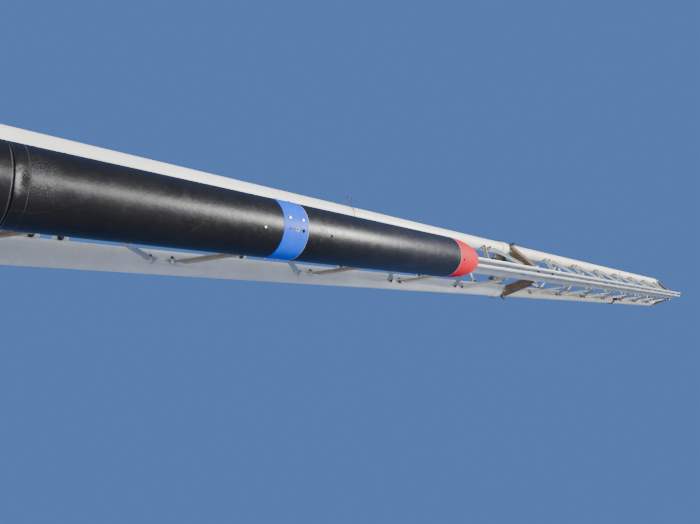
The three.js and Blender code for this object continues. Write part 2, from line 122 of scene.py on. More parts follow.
# Camera of the photograph: place in metres, then the picture's right, down and forward.
CAMERA_PLACE = (-0.024, -1.157, 0.2)
CAMERA_TURN = math.radians(-3.35)
CAMERA_RIGHT = (-0.74411, 0.11634, 0.65786)
CAMERA_DOWN = (-0.08716, -0.99321, 0.07706)
CAMERA_FORWARD = (0.66235, 0.0, 0.74919)


# Mesh helpers, all in millimetres


def smooth(bm, sharp):
    """Shades all faces smooth and leaves the edges over the given angle sharp."""
    limit = math.radians(sharp)
    for edge in bm.edges:
        edge.smooth = len(edge.link_faces) == 2 and edge.calc_face_angle(0.0) < limit
    for face in bm.faces:
        face.smooth = True


def add(name, mesh, body):
    """Puts a mesh into the scene as a piece that rides on a body."""
    obj = bpy.data.objects.new(name, mesh)
    bpy.context.scene.collection.objects.link(obj)
    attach(obj, body)
    return obj


def piece(name, bm, materials, body, replaces=(), sharp=SHARP):
    """Makes a drawn mesh a finished piece at the origin, smooth but for its sharp edges."""
    bmesh.ops.recalc_face_normals(bm, faces=bm.faces)
    bm.transform(Matrix.Scale(MM, 4))
    smooth(bm, sharp)
    mesh = bpy.data.meshes.new(name)
    bm.to_mesh(mesh)
    bm.free()
    for label in materials:
        mesh.materials.append(material(label))
    obj = add(name, mesh, body)
    if replaces:
        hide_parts(*replaces)


def lathe(bm, profile, centre=(0.0, 0.0), steps=96, index=0, matrix=None, splits=()):
    """Turns a profile of (radius, height). A profile that ends where it starts makes a pipe.
    Faces above each height in splits take the next material."""
    rings = []
    made = []
    for radius, z in profile:
        count = steps if radius > 0 else 1
        turns = [2 * math.pi * i / steps for i in range(count)]
        ring = [
            bm.verts.new((centre[0] + radius * math.cos(a), centre[1] + radius * math.sin(a), z))
            for a in turns
        ]
        rings.append(ring)
        made += ring
    if profile[0] == profile[-1]:
        for vert in rings.pop():
            made.remove(vert)
            bm.verts.remove(vert)
        rings.append(rings[0])
    for low, high in zip(rings, rings[1:]):
        for i in range(steps):
            j = (i + 1) % steps
            around = (low[i % len(low)], low[j % len(low)], high[j % len(high)], high[i % len(high)])
            corners = list(dict.fromkeys(around))
            if len(corners) < 3:
                continue
            face = bm.faces.new(corners)
            middle = sum(v.co.z for v in corners) / len(corners)
            face.material_index = index + sum(middle > level for level in splits)
    if matrix:
        bmesh.ops.transform(bm, matrix=matrix, verts=made)


def loft(bm, sections, index=0, loop=False):
    """Joins sections of equally many points into one skin, with ends unless it is a loop."""
    rings = [[bm.verts.new(point) for point in section] for section in sections]
    faces = [] if loop else [bm.faces.new(rings[0][::-1]), bm.faces.new(rings[-1])]
    for low, high in zip(rings, rings[1:] + (rings[:1] if loop else [])):
        for i, vert in enumerate(low):
            j = (i + 1) % len(low)
            faces.append(bm.faces.new((vert, low[j], high[j], high[i])))
    for face in faces:
        face.material_index = index


def prism(bm, outline, low, high, matrix=None):
    """Extrudes a flat outline between two heights."""
    matrix = matrix or Matrix.Identity(4)
    loft(bm, [[matrix @ Vector((x, y, z)) for x, y in outline] for z in (low, high)])


def block(bm, low, high, edge, segments=2):
    """A box between two corners, with rounded edges."""
    low, high = Vector(low), Vector(high)
    verts = bmesh.ops.create_cube(bm, size=1.0)["verts"]
    size, centre = high - low, (high + low) / 2
    for vert in verts:
        vert.co = Vector(vert.co[i] * size[i] + centre[i] for i in range(3))
    edges = list({e for vert in verts for e in vert.link_edges})
    bmesh.ops.bevel(bm, geom=edges, offset=edge, segments=segments, profile=0.5, affect="EDGES")


def rounded(points, radii, steps=4):
    """Rounds each corner of an outline by its own radius."""
    outline = []
    for i, (corner, radius) in enumerate(zip(points, radii)):
        here = Vector(corner)
        back = (Vector(points[i - 1]) - here).normalized()
        ahead = (Vector(points[(i + 1) % len(points)]) - here).normalized()
        half = back.angle(ahead) / 2
        if radius <= 0 or half < 0.05 or half > 1.5:
            outline.append(tuple(here))
            continue
        centre = here + (back + ahead).normalized() * radius / math.sin(half)
        start = here + back * radius / math.tan(half) - centre
        end = here + ahead * radius / math.tan(half) - centre
        first = math.atan2(start.y, start.x)
        turn = (math.atan2(end.y, end.x) - first + math.pi) % (2 * math.pi) - math.pi
        for k in range(steps + 1):
            a = first + turn * k / steps
            outline.append((centre.x + radius * math.cos(a), centre.y + radius * math.sin(a)))
    return outline


def wire(bm, points, radii, loop=False):
    """Sweeps a round section along points, with a radius for each point."""
    points = [Vector(p) for p in points]
    turns = [2 * math.pi * k / WIRE_SIDES for k in range(WIRE_SIDES)]
    count = len(points)
    rings = []
    side = None
    for i, point in enumerate(points):
        before = points[i - 1] if loop or i else point
        after = points[(i + 1) % count] if loop or i + 1 < count else point
        along = (after - before).normalized()
        if side is None:
            side = along.orthogonal().normalized()
        side = (side - along * side.dot(along)).normalized()
        other = along.cross(side)
        rings.append([point + radii[i] * (side * math.cos(a) + other * math.sin(a)) for a in turns])
    loft(bm, rings, loop=loop)


def weld(bm, points, size, loop=False):
    """A rippled weld bead along straight runs between points."""
    path = []
    ends = list(zip(points, points[1:])) + ([(points[-1], points[0])] if loop else [])
    for a, b in ends:
        a, b = Vector(a), Vector(b)
        count = max(1, round((b - a).length / WELD_STEP))
        path += [a.lerp(b, k / count) for k in range(count)]
    if not loop:
        path.append(Vector(points[-1]))
    radii = [size * (1.0 + 0.16 * (i % 2) + 0.08 * math.sin(i * 1.7)) for i in range(len(path))]
    wire(bm, path, radii, loop)


def ring_points(centre, radius, z, count):
    turns = (2 * math.pi * i / count for i in range(count))
    return [(centre[0] + radius * math.cos(a), centre[1] + radius * math.sin(a), z) for a in turns]


def facing(place, direction):
    """A matrix that stands a piece drawn along +Z at a place, pointing in a direction."""
    turn = Vector(direction).to_track_quat("Z", "Y").to_matrix().to_4x4()
    return Matrix.Translation(Vector(place)) @ turn


def on_body(degrees, z, radius=BODY_R):
    """A place on the rocket's skin and the direction it faces."""
    a = math.radians(degrees)
    out = Vector((math.cos(a), math.sin(a), 0.0))
    return Vector((RAIL_X, ROCKET_Y, z)) + out * radius, out


def port(bm, degrees, z, hole, rim, radius=BODY_R, first=0, proud=0.35):
    """A round hole with a raised rim: a disc painted near black as the hole's shade takes material first, the
    rim the next one.
    """
    place, out = on_body(degrees, z, radius)
    matrix = facing(place, out)
    disc = [(0, proud * 0.3), (hole, proud * 0.3), (hole, -1.0), (0, -1.0)]
    lathe(bm, disc, steps=20, index=first, matrix=matrix)
    ring = [(hole, -1.0), (rim, -1.0), (rim, proud * 0.6), (rim * 0.94, proud), (hole * 1.04, proud),
            (hole, proud * 0.7), (hole, -1.0)]
    lathe(bm, ring, steps=28, index=first + 1, matrix=matrix)


# Node helpers


def fill(tree, node, inputs):
    """Links a node's inputs to other nodes' outputs, or fills them with plain values."""
    for key, value in inputs.items():
        if isinstance(value, bpy.types.NodeSocket):
            tree.links.new(value, node.inputs[key])
        else:
            node.inputs[key].default_value = value


def put(tree, kind, inputs=None, **settings):
    """Adds a node, sets its properties, and fills its inputs."""
    node = tree.nodes.new(kind)
    for key, value in settings.items():
        setattr(node, key, value)
    fill(tree, node, inputs or {})
    return node


def calc(tree, operation, a, b, clamp=False):
    return put(tree, "ShaderNodeMath", {0: a, 1: b}, operation=operation, use_clamp=clamp).outputs[0]


def spread(tree, value, low, high, to_low=0.0, to_high=1.0):
    """Takes a value between two levels smoothly to two others."""
    inputs = {0: value, 1: low, 2: high, 3: to_low, 4: to_high}
    return put(tree, "ShaderNodeMapRange", inputs, interpolation_type="SMOOTHSTEP").outputs[0]


def blend(tree, factor, a, b):
    return put(tree, "ShaderNodeMix", {0: factor, 6: a, 7: b}, data_type="RGBA").outputs[2]


def noise(tree, vector, scale, detail=4.0):
    inputs = {"Vector": vector, "Scale": scale, "Detail": detail, "Roughness": 0.55}
    return put(tree, "ShaderNodeTexNoise", inputs).outputs[0]


FLOAT, VECTOR, INTEGER = "NodeSocketFloat", "NodeSocketVector", "NodeSocketInt"
GEOMETRY, FINISH = "NodeSocketGeometry", "NodeSocketMaterial"


def node_group(name, kind, inputs, result):
    """Starts a node group with named sockets. Returns its tree, its inputs and its result's socket."""
    tree = bpy.data.node_groups.new(name, kind)
    for label, socket_type, value in inputs:
        socket = tree.interface.new_socket(label, in_out="INPUT", socket_type=socket_type)
        if value is not None:
            socket.default_value = value
    tree.interface.new_socket(result[0], in_out="OUTPUT", socket_type=result[1])
    given = tree.nodes.new("NodeGroupInput").outputs
    return tree, given, tree.nodes.new("NodeGroupOutput").inputs[0]


def effect(name, **inputs):
    """Starts a shader group that makes a mask from the object's coordinates and a few numbers."""
    sockets = [("Coordinates", VECTOR, None)]
    sockets += [(label.title(), FLOAT, value) for label, value in inputs.items()]
    return node_group(name, "ShaderNodeTree", sockets, ("Mask", FLOAT))


def blotches_group():
    """Cloudy patches in two sizes, as in uneven paint, dust or stains."""
    tree, given, mask = effect("Blotches", scale=10.0, low=0.4, high=0.65)
    coarse = noise(tree, given["Coordinates"], given["Scale"], 5.0)
    fine = noise(tree, given["Coordinates"], calc(tree, "MULTIPLY", given["Scale"], 5.3), 3.0)
    both = calc(tree, "ADD", calc(tree, "MULTIPLY", coarse, 0.68), calc(tree, "MULTIPLY", fine, 0.32))
    tree.links.new(spread(tree, both, given["Low"], given["High"]), mask)


def grain_group():
    """Lines drawn along Z, as on an extrusion or where rain has run."""
    tree, given, mask = effect("Lengthwise grain", across=200.0, along=2.0)
    stretch = put(tree, "ShaderNodeCombineXYZ", {0: given["Across"], 1: given["Across"], 2: given["Along"]})
    inputs = {0: given["Coordinates"], 1: stretch.outputs[0]}
    vector = put(tree, "ShaderNodeVectorMath", inputs, operation="MULTIPLY").outputs[0]
    tree.links.new(noise(tree, vector, 1.0, 3.0), mask)


def wear_group():
    """Edges where paint has rubbed through."""
    tree, given, mask = effect("Worn edges", radius=0.002, scale=60.0)
    soft = put(tree, "ShaderNodeBevel", {"Radius": given["Radius"]}, samples=4).outputs[0]
    hard = put(tree, "ShaderNodeNewGeometry").outputs["Normal"]
    inputs = {0: soft, 1: hard}
    same = put(tree, "ShaderNodeVectorMath", inputs, operation="DOT_PRODUCT").outputs["Value"]
    edge = spread(tree, calc(tree, "SUBTRACT", 1.0, same), 0.01, 0.16)
    patchy = spread(tree, noise(tree, given["Coordinates"], given["Scale"], 5.0), 0.44, 0.6)
    tree.links.new(calc(tree, "MULTIPLY", edge, patchy), mask)


def scratches_group():
    """Thin broken lines in every direction."""
    tree, given, mask = effect("Scratches", scale=20.0, width=0.012)
    bend = put(tree, "ShaderNodeTexNoise", {"Vector": given["Coordinates"], "Scale": 6.0}).outputs["Color"]
    vector = blend(tree, 0.12, given["Coordinates"], bend)
    inputs = {"Vector": vector, "Scale": given["Scale"]}
    cells = put(tree, "ShaderNodeTexVoronoi", inputs, feature="DISTANCE_TO_EDGE").outputs[0]
    line = spread(tree, cells, 0.0, given["Width"], 1.0, 0.0)
    broken = spread(tree, noise(tree, given["Coordinates"], given["Scale"], 3.0), 0.52, 0.62)
    tree.links.new(calc(tree, "MULTIPLY", line, broken), mask)


def specks_group():
    """Scattered small spots, such as rust, chips or grit."""
    tree, given, mask = effect("Specks", scale=40.0, size=0.2)
    inputs = {"Vector": given["Coordinates"], "Scale": given["Scale"]}
    cells = put(tree, "ShaderNodeTexVoronoi", inputs, feature="F1")
    spot = spread(tree, cells.outputs["Distance"], 0.0, given["Size"], 1.0, 0.0)
    some = spread(tree, noise(tree, given["Coordinates"], 7.0, 3.0), 0.56, 0.66)
    tree.links.new(calc(tree, "MULTIPLY", spot, some), mask)


def dust_group():
    """Dust that settles on faces that look up."""
    tree, given, mask = effect("Settled dust", scale=14.0)
    normal = put(tree, "ShaderNodeTexCoord").outputs["Normal"]
    up = put(tree, "ShaderNodeSeparateXYZ", {0: normal}).outputs["Z"]
    top = spread(tree, up, 0.4, 0.95)
    patchy = spread(tree, noise(tree, given["Coordinates"], given["Scale"], 6.0), 0.35, 0.7)
    tree.links.new(calc(tree, "MULTIPLY", top, patchy), mask)


EFFECTS = {
    "Blotches": blotches_group,
    "Lengthwise grain": grain_group,
    "Worn edges": wear_group,
    "Scratches": scratches_group,
    "Specks": specks_group,
    "Settled dust": dust_group,
}


class Finish:
    """A material under way: its tree, its coordinates, its colour so far and its roughness so far."""

    def __init__(self, name, colour, roughness, **plain):
        self.material = bpy.data.materials.new(name)
        self.material.use_nodes = True
        self.material.diffuse_color = (*colour, 1.0)
        self.tree = self.material.node_tree
        self.tree.nodes.clear()
        leave = self.tree.nodes.new("ShaderNodeOutputMaterial")
        self.shader = self.tree.nodes.new("ShaderNodeBsdfPrincipled")
        self.tree.links.new(self.shader.outputs[0], leave.inputs["Surface"])
        for label, value in plain.items():
            self.shader.inputs[label.replace("_", " ").title().replace("Ior", "IOR")].default_value = value
        self.coords = put(self.tree, "ShaderNodeTexCoord").outputs["Object"]
        self.colour = (*colour, 1.0)
        self.roughness = roughness
        self.height = None

    def mask(self, name, strength=1.0, **values):
        """Places a shared effect and returns its mask, weakened to the strength asked for."""
        if name not in bpy.data.node_groups:
            EFFECTS[name]()
        inputs = {"Coordinates": self.coords, **{label.title(): value for label, value in values.items()}}
        found = put(self.tree, "ShaderNodeGroup", inputs, node_tree=bpy.data.node_groups[name]).outputs[0]
        return found if strength == 1.0 else self.times(found, strength)

    def paint(self, mask, colour, roughness):
        """Lays a colour, and its own roughness, over what is there."""
        self.colour = blend(self.tree, mask, self.colour, (*colour, 1.0))
        inputs = {0: mask, 2: self.roughness, 3: roughness}
        self.roughness = put(self.tree, "ShaderNodeMix", inputs, data_type="FLOAT").outputs[0]

    def coat(self, name, colour, roughness, **values):
        """Paints through the mask of a shared effect."""
        self.paint(self.mask(name, **values), colour, roughness)

    def raise_by(self, mask, metres):
        """Adds relief for the bump."""
        lift = self.times(mask, metres)
        self.height = lift if self.height is None else calc(self.tree, "ADD", self.height, lift)

    def roughen(self, scale, metres, detail=4.0):
        """Adds the relief of a noise."""
        self.raise_by(noise(self.tree, self.coords, scale, detail), metres)

    def times(self, a, b, clamp=False):
        return calc(self.tree, "MULTIPLY", a, b, clamp)

    def level(self):
        """Height above the floor, in metres."""
        return put(self.tree, "ShaderNodeSeparateXYZ", {0: self.coords}).outputs["Z"]

    def runs(self, across, along, low, high, strength=0.6):
        """A mask of stains that run down."""
        run = self.mask("Lengthwise grain", across=across, along=along)
        return self.times(spread(self.tree, run, low, high), strength)

    def vector(self, operation, a, b=(0.0, 0.0, 0.0)):
        return put(self.tree, "ShaderNodeVectorMath", {0: a, 1: b}, operation=operation).outputs

    def waves(self, scale, distortion, direction):
        inputs = {"Vector": self.coords, "Scale": scale, "Distortion": distortion}
        return put(self.tree, "ShaderNodeTexWave", inputs, bands_direction=direction).outputs[1]

    def near(self, place, reach, stretch=(1.0, 1.0, 1.0)):
        """A soft mask about one place of the object, in metres."""
        away = self.vector("SUBTRACT", self.coords, place)[0]
        far = self.vector("LENGTH", self.vector("MULTIPLY", away, stretch)[0])["Value"]
        return spread(self.tree, far, 0.0, reach, 1.0, 0.0)

    def below_sides(self, middle, half, start, end):
        """A mask for what lies deeper than the sides of an upright square bar, in metres."""
        away = self.vector("SUBTRACT", self.coords, middle)[0]
        even = self.vector("ABSOLUTE", away)[0]
        across = put(self.tree, "ShaderNodeSeparateXYZ", {0: even}).outputs
        depth = calc(self.tree, "SUBTRACT", half, calc(self.tree, "MAXIMUM", across["X"], across["Y"]))
        return spread(self.tree, depth, start, end)

    def done(self):
        fill(self.tree, self.shader, {"Base Color": self.colour, "Roughness": self.roughness})
        if self.height is not None:
            bump = put(self.tree, "ShaderNodeBump", {"Strength": 1.0, "Distance": 1.0, "Height": self.height})
            self.tree.links.new(bump.outputs[0], self.shader.inputs["Normal"])
        return self.material


def body_black(colour):
    made = Finish("Satin black skin", colour, 0.345, specular_ior_level=0.3)
    made.coat("Blotches", (0.0075, 0.0065, 0.005), 0.39, scale=9.0, low=0.42, high=0.62)
    made.coat("Blotches", (0.007, 0.006, 0.005), 0.48, scale=60.0, low=0.48, high=0.66, strength=0.7)
    made.coat("Scratches", (0.09, 0.09, 0.09), 0.5, scale=9.0, width=0.004, strength=0.2)
    made.coat("Settled dust", (0.2, 0.19, 0.17), 0.8, scale=30.0, strength=0.4)
    # Painted highlight: the patch called rubbed is a light grey spot on the skin below the groove, standing
    # in for a bright reflection there.
    rubbed = made.near((-0.037, -0.204, 0.469), 0.013, (0.4, 0.3, 1.0))
    painted_highlight = made.times(rubbed, made.mask("Blotches", scale=170.0, low=0.34, high=0.6))
    made.paint(painted_highlight, (0.23, 0.23, 0.215), 0.32)
    # Painted sparkle: light grey specks in the highlight band stand in for glints off a grainy stretch of the
    # skin.
    sparkle_patch = made.near((-0.045, -0.2, 0.5), 0.045, (0.9, 0.5, 1.0))
    grain = made.times(sparkle_patch, made.mask("Blotches", scale=480.0, low=0.45, high=0.62))
    made.paint(grain, (0.06, 0.06, 0.056), 0.44)
    smudge = made.near((-0.038, -0.204, 0.477), 0.012, (0.4, 0.3, 1.0))
    smears = made.times(smudge, made.mask("Blotches", scale=420.0, low=0.32, high=0.56))
    made.paint(made.times(smears, 1.8, clamp=True), (0.005, 0.005, 0.005), 0.85)
    made.roughen(140.0, 0.0003, 4.0)
    made.roughen(30.0, 0.0004, 2.0)
    return made.done()


def band_blue(colour):
    made = Finish("Satin blue band", colour, 0.44, specular_ior_level=0.1)
    made.coat("Blotches", (0.004, 0.08, 0.64), 0.4, scale=16.0, low=0.4, high=0.66)
    made.coat("Scratches", (0.1, 0.3, 0.85), 0.5, scale=26.0, width=0.01, strength=0.35)
    made.coat("Specks", (0.2, 0.4, 0.88), 0.5, scale=160.0, size=0.18, strength=0.4)
    made.roughen(160.0, 0.00018, 3.0)
    return made.done()


def nose_red(colour):
    made = Finish("Satin coral nose", colour, 0.6, specular_ior_level=0.06)
    made.coat("Blotches", (0.52, 0.008, 0.022), 0.66, scale=12.0, low=0.4, high=0.66)
    made.coat("Scratches", (0.9, 0.25, 0.22), 0.5, scale=18.0, width=0.008, strength=0.3)
    made.coat("Specks", (0.35, 0.02, 0.02), 0.55, scale=120.0, size=0.22, strength=0.5)
    past_rim = spread(made.tree, made.level(), (NOSE_BASE + 2.2) * MM, (NOSE_BASE + 3.0) * MM)
    made.paint(calc(made.tree, "SUBTRACT", 1.0, past_rim), (0.5, 0.13, 0.13), 0.55)
    made.roughen(140.0, 0.00016, 3.0)
    return made.done()


def bare_metal(colour):
    made = Finish("Turned steel", colour, 0.3, metallic=1.0)
    made.coat("Blotches", (0.3, 0.3, 0.3), 0.46, scale=45.0, low=0.4, high=0.68)
    made.coat("Specks", (0.14, 0.1, 0.07), 0.6, scale=90.0, size=0.3, strength=0.5)
    made.raise_by(made.waves(420.0, 0.6, "Z"), 0.00002)
    return made.done()


def nozzle_metal(colour):
    made = Finish("Heat tinted steel", colour, 0.28, metallic=1.0)
    wavy = calc(made.tree, "ADD", made.level(), made.times(noise(made.tree, made.coords, 30.0), 0.02))
    # Height where a heat tint begins, where it is full, and its colour.
    tints = (
        (0.18, 0.16, (0.42, 0.3, 0.14)),
        (0.165, 0.15, (0.2, 0.16, 0.3)),
        (0.152, 0.14, (0.07, 0.065, 0.06)),
    )
    for start, full, tint in tints:
        made.paint(spread(made.tree, wavy, start, full), tint, 0.45)
    made.roughen(220.0, 0.00008)
    return made.done()


def rail_aluminium(colour):
    made = Finish("Mill finish aluminium", colour, 0.36, metallic=1.0)
    drawn = made.mask("Lengthwise grain", across=900.0, along=3.0)
    made.paint(spread(made.tree, drawn, 0.4, 0.62), (0.38, 0.39, 0.4), 0.44)
    made.coat("Blotches", (0.34, 0.35, 0.36), 0.52, scale=11.0, low=0.48, high=0.7, strength=0.8)
    made.paint(made.runs(70.0, 5.0, 0.56, 0.7), (0.34, 0.33, 0.31), 0.6)
    made.coat("Scratches", (0.7, 0.71, 0.72), 0.3, scale=34.0, width=0.01, strength=0.4)
    # Painted shade level in the slot: faces deeper than the rail's sides take their own lighter, rougher
    # tone, set for how bright the slot's shade reads.
    middle = (RAIL_X * MM, (RAIL_FRONT + RAIL_BACK) / 2 * MM, 0.0)
    made.paint(made.below_sides(middle, RAIL_HALF * MM, 0.0012, 0.0028), (0.55, 0.55, 0.545), 0.62)
    made.raise_by(drawn, 0.00006)
    return made.done()


def tube_white(colour):
    made = Finish("Off-white enamel", colour, 0.42, specular_ior_level=0.5)
    made.coat("Blotches", (0.66, 0.655, 0.6), 0.48, scale=6.0, low=0.38, high=0.62)
    made.paint(made.runs(55.0, 2.5, 0.52, 0.72, 0.55), (0.46, 0.44, 0.38), 0.6)
    made.coat("Blotches", (0.4, 0.39, 0.35), 0.65, scale=26.0, low=0.58, high=0.72, strength=0.5)
    made.coat("Scratches", (0.3, 0.28, 0.25), 0.6, scale=16.0, width=0.01, strength=0.6)
    high_up = spread(made.tree, made.level(), 2.9, 3.3)
    aged = made.times(high_up, made.mask("Blotches", scale=9.0, low=0.3, high=0.6))
    made.paint(aged, (0.6, 0.55, 0.38), 0.55)
    made.coat("Specks", (0.2, 0.12, 0.07), 0.75, scale=85.0, size=0.2, strength=0.8)
    made.roughen(110.0, 0.00025, 3.0)
    made.roughen(14.0, 0.0009, 2.0)
    return made.done()


def lacing_steel(colour):
    made = Finish("Weathered galvanised steel", colour, 0.46, metallic=0.55)
    cells = put(made.tree, "ShaderNodeTexVoronoi", {"Vector": made.coords, "Scale": 130.0}).outputs["Color"]
    shade = put(made.tree, "ShaderNodeSeparateColor", {0: cells}).outputs[0]
    made.paint(made.times(shade, 0.5), (0.36, 0.37, 0.37), 0.38)
    made.coat("Blotches", (0.42, 0.41, 0.38), 0.62, scale=22.0, low=0.45, high=0.66)
    made.coat("Blotches", (0.2, 0.11, 0.06), 0.8, scale=31.0, low=0.6, high=0.7)
    made.coat("Worn edges", (0.72, 0.72, 0.7), 0.35, radius=0.0015, scale=70.0, strength=0.8)
    made.roughen(240.0, 0.0002)
    return made.done()


def zinc_bolt(colour):
    made = Finish("Zinc plated bolts", colour, 0.3, metallic=1.0)
    made.coat("Blotches", (0.5, 0.49, 0.44), 0.42, scale=90.0, low=0.42, high=0.64)
    made.coat("Specks", (0.25, 0.13, 0.07), 0.7, scale=200.0, size=0.4, strength=0.7)
    made.roughen(500.0, 0.00006)
    return made.done()


def dark_bolt(colour):
    # Dark steel; on the lacing it also serves as painted shade for bolts that stand in shadow.
    made = Finish("Blackened bolts", colour, 0.5, metallic=0.8)
    made.coat("Blotches", (0.1, 0.075, 0.058), 0.72, scale=110.0, low=0.45, high=0.6)
    made.coat("Worn edges", (0.3, 0.29, 0.28), 0.35, radius=0.0006, scale=200.0)
    made.roughen(400.0, 0.0001)
    return made.done()


def brown_primer(colour):
    light, dark = (tuple(value * share for value in colour) for share in (1.5, 0.55))
    made = Finish("Weathered primer", colour, 0.68, specular_ior_level=0.3)
    made.coat("Blotches", light, 0.6, scale=20.0, low=0.42, high=0.62)
    made.paint(made.runs(120.0, 14.0, 0.5, 0.7), dark, 0.75)
    made.coat("Blotches", (0.13, 0.055, 0.025), 0.86, scale=33.0, low=0.6, high=0.7, strength=0.8)
    made.coat("Worn edges", (0.42, 0.37, 0.3), 0.5, radius=0.0025, scale=55.0)
    made.coat("Settled dust", (0.34, 0.3, 0.25), 0.85, scale=20.0, strength=0.5)
    made.roughen(180.0, 0.0004)
    return made.done()


def base_steel(colour):
    made = Finish("Dark grey enamel", colour, 0.5, specular_ior_level=0.45)
    made.coat("Blotches", (0.085, 0.092, 0.1), 0.6, scale=6.0, low=0.4, high=0.64)
    made.coat("Scratches", (0.26, 0.26, 0.26), 0.45, scale=12.0, width=0.01, strength=0.8)
    made.coat("Specks", (0.17, 0.08, 0.045), 0.8, scale=60.0, size=0.3)
    made.coat("Worn edges", (0.4, 0.39, 0.38), 0.38, radius=0.004, scale=34.0)
    made.coat("Settled dust", (0.33, 0.31, 0.28), 0.85, scale=9.0, strength=0.55)
    made.roughen(150.0, 0.0003)
    return made.done()


def scorched_plate(colour):
    made = Finish("Scorched steel plate", colour, 0.48, metallic=0.85)
    made.coat("Blotches", (0.27, 0.24, 0.21), 0.6, scale=14.0, low=0.42, high=0.64)
    soot = made.times(made.near((-0.024, -0.15, 0.1), 0.22), 0.95)
    made.paint(made.times(made.near((-0.024, -0.16, 0.1), 0.3), 0.55), (0.2, 0.13, 0.08), 0.7)
    patchy = made.times(soot, made.mask("Blotches", scale=18.0, low=0.3, high=0.5))
    made.paint(patchy, (0.015, 0.014, 0.013), 0.9)
    made.coat("Worn edges", (0.6, 0.59, 0.57), 0.4, radius=0.002, scale=60.0)
    made.roughen(90.0, 0.0004)
    return made.done()


def rubber(colour):
    made = Finish("Black rubber", colour, 0.85, specular_ior_level=0.3)
    made.coat("Settled dust", (0.2, 0.19, 0.17), 0.95, scale=30.0, strength=0.6)
    made.coat("Blotches", (0.035, 0.034, 0.033), 0.75, scale=40.0, low=0.45, high=0.7, strength=0.6)
    made.roughen(350.0, 0.0003)
    return made.done()


def black_plastic(colour):
    made = Finish("Moulded black plastic", colour, 0.55, specular_ior_level=0.45)
    made.coat("Blotches", (0.03, 0.03, 0.031), 0.68, scale=30.0, low=0.45, high=0.7)
    made.coat("Settled dust", (0.2, 0.19, 0.17), 0.9, scale=20.0, strength=0.4)
    made.roughen(420.0, 0.00015)
    return made.done()


def bare_laminate(colour):
    made = Finish("Bare glass laminate", colour, 0.5, specular_ior_level=0.5)
    cloth = made.times(*(made.waves(260.0, 0.4, direction) for direction in ("Z", "DIAGONAL")))
    made.paint(made.times(cloth, 0.6), (0.5, 0.47, 0.36), 0.42)
    made.coat("Blotches", (0.26, 0.24, 0.19), 0.6, scale=25.0, low=0.45, high=0.66, strength=0.6)
    made.raise_by(cloth, 0.00012)
    return made.done()


def pale_edge(colour):
    made = Finish("Pale edge", colour, 0.45, specular_ior_level=0.4)
    made.coat("Blotches", (0.2, 0.21, 0.23), 0.5, scale=60.0, low=0.46, high=0.66)
    made.coat("Scratches", (0.05, 0.05, 0.05), 0.5, scale=60.0, width=0.02, strength=0.7)
    return made.done()


def worn_edge(colour):
    made = Finish("Rubbed edge", colour, 0.4, metallic=0.3)
    made.coat("Blotches", (0.03, 0.03, 0.031), 0.5, scale=30.0, low=0.42, high=0.6)
    made.coat("Scratches", (0.3, 0.3, 0.29), 0.4, scale=60.0, width=0.03, strength=0.7)
    return made.done()


def hole_shade_black(colour):
    # Painted shade: a near-black finish for discs and rings put where a hole or gap would only show shade.
    made = Finish("Inside of a hole", colour, 0.9, specular_ior_level=0.1)
    made.coat("Blotches", (0.01, 0.01, 0.01), 0.95, scale=200.0, low=0.4, high=0.7)
    return made.done()


def olive_ring(colour):
    made = Finish("Olive bushing", colour, 0.5, metallic=0.4)
    made.coat("Blotches", (0.2, 0.2, 0.1), 0.6, scale=150.0, low=0.4, high=0.6)
    made.roughen(500.0, 0.0001)
    return made.done()


# The builder of each finish and its colour. The colours in LaunchColours can be changed in the panel.
FINISHES = {
    "body_black": (body_black, (0.006, 0.0054, 0.0045)),
    "band_blue": (band_blue, (0.0028, 0.06, 0.551)),
    "nose_red": (nose_red, (0.45, 0.004, 0.016)),
    "bare_metal": (bare_metal, (0.5, 0.5, 0.5)),
    "nozzle_metal": (nozzle_metal, (0.45, 0.43, 0.4)),
    "rail_aluminium": (rail_aluminium, (0.45, 0.46, 0.47)),
    "tube_white": (tube_white, (0.74, 0.74, 0.7)),
    "lacing_steel": (lacing_steel, (0.52, 0.53, 0.52)),
    "lacing_tan": (lacing_steel, (0.38, 0.31, 0.23)),
    "zinc_bolt": (zinc_bolt, (0.72, 0.71, 0.68)),
    "dark_bolt": (dark_bolt, (0.05, 0.045, 0.04)),
    "brown_primer": (brown_primer, (0.1, 0.072, 0.046)),
    "olive_primer": (brown_primer, (0.036, 0.036, 0.022)),
    "base_steel": (base_steel, (0.06, 0.067, 0.074)),
    "scorched_plate": (scorched_plate, (0.42, 0.42, 0.41)),
    "rubber": (rubber, (0.014, 0.014, 0.014)),
    "black_plastic": (black_plastic, (0.017, 0.017, 0.018)),
    "bare_laminate": (bare_laminate, (0.4, 0.37, 0.27)),
    "pale_edge": (pale_edge, (0.5, 0.5, 0.52)),
    "worn_edge": (worn_edge, (0.13, 0.13, 0.13)),
    "hole_shade_black": (hole_shade_black, (0.004, 0.004, 0.004)),
    "olive_ring": (olive_ring, (0.13, 0.13, 0.06)),
}
MADE = {}


def material(label):
    """The finish of that name, made the first time it is asked for."""
    if label not in MADE:
        build, colour = FINISHES[label]
        chosen = bpy.context.scene.launch_colours
        colour = tuple(getattr(chosen, label)) if hasattr(chosen, label) else colour
        MADE[label] = build(colour)
    return MADE[label]


def dress(label, slot, *nodes):
    """Gives CAD nodes that stay as they are a finish."""
    for name in nodes:
        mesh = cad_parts[name].data
        mesh.materials.clear()
        mesh.materials.append(material(label))


# Geometry Nodes for what repeats

FASTENERS = "Fastener field"


def on_washer(tree, given, mesh, tall, share):
    """Lifts a mesh onto the washer, by a share of its own height."""
    height = calc(tree, "ADD", given["Washer Height"], calc(tree, "MULTIPLY", tall, share))
    place = put(tree, "ShaderNodeCombineXYZ", {2: height}).outputs[0]
    return put(tree, "GeometryNodeTransform", {"Geometry": mesh, "Translation": place}).outputs[0]


def rod(tree, sides, radius, tall):
    inputs = {"Vertices": sides, "Radius": radius, "Depth": tall}
    return put(tree, "GeometryNodeMeshCylinder", inputs).outputs[0]


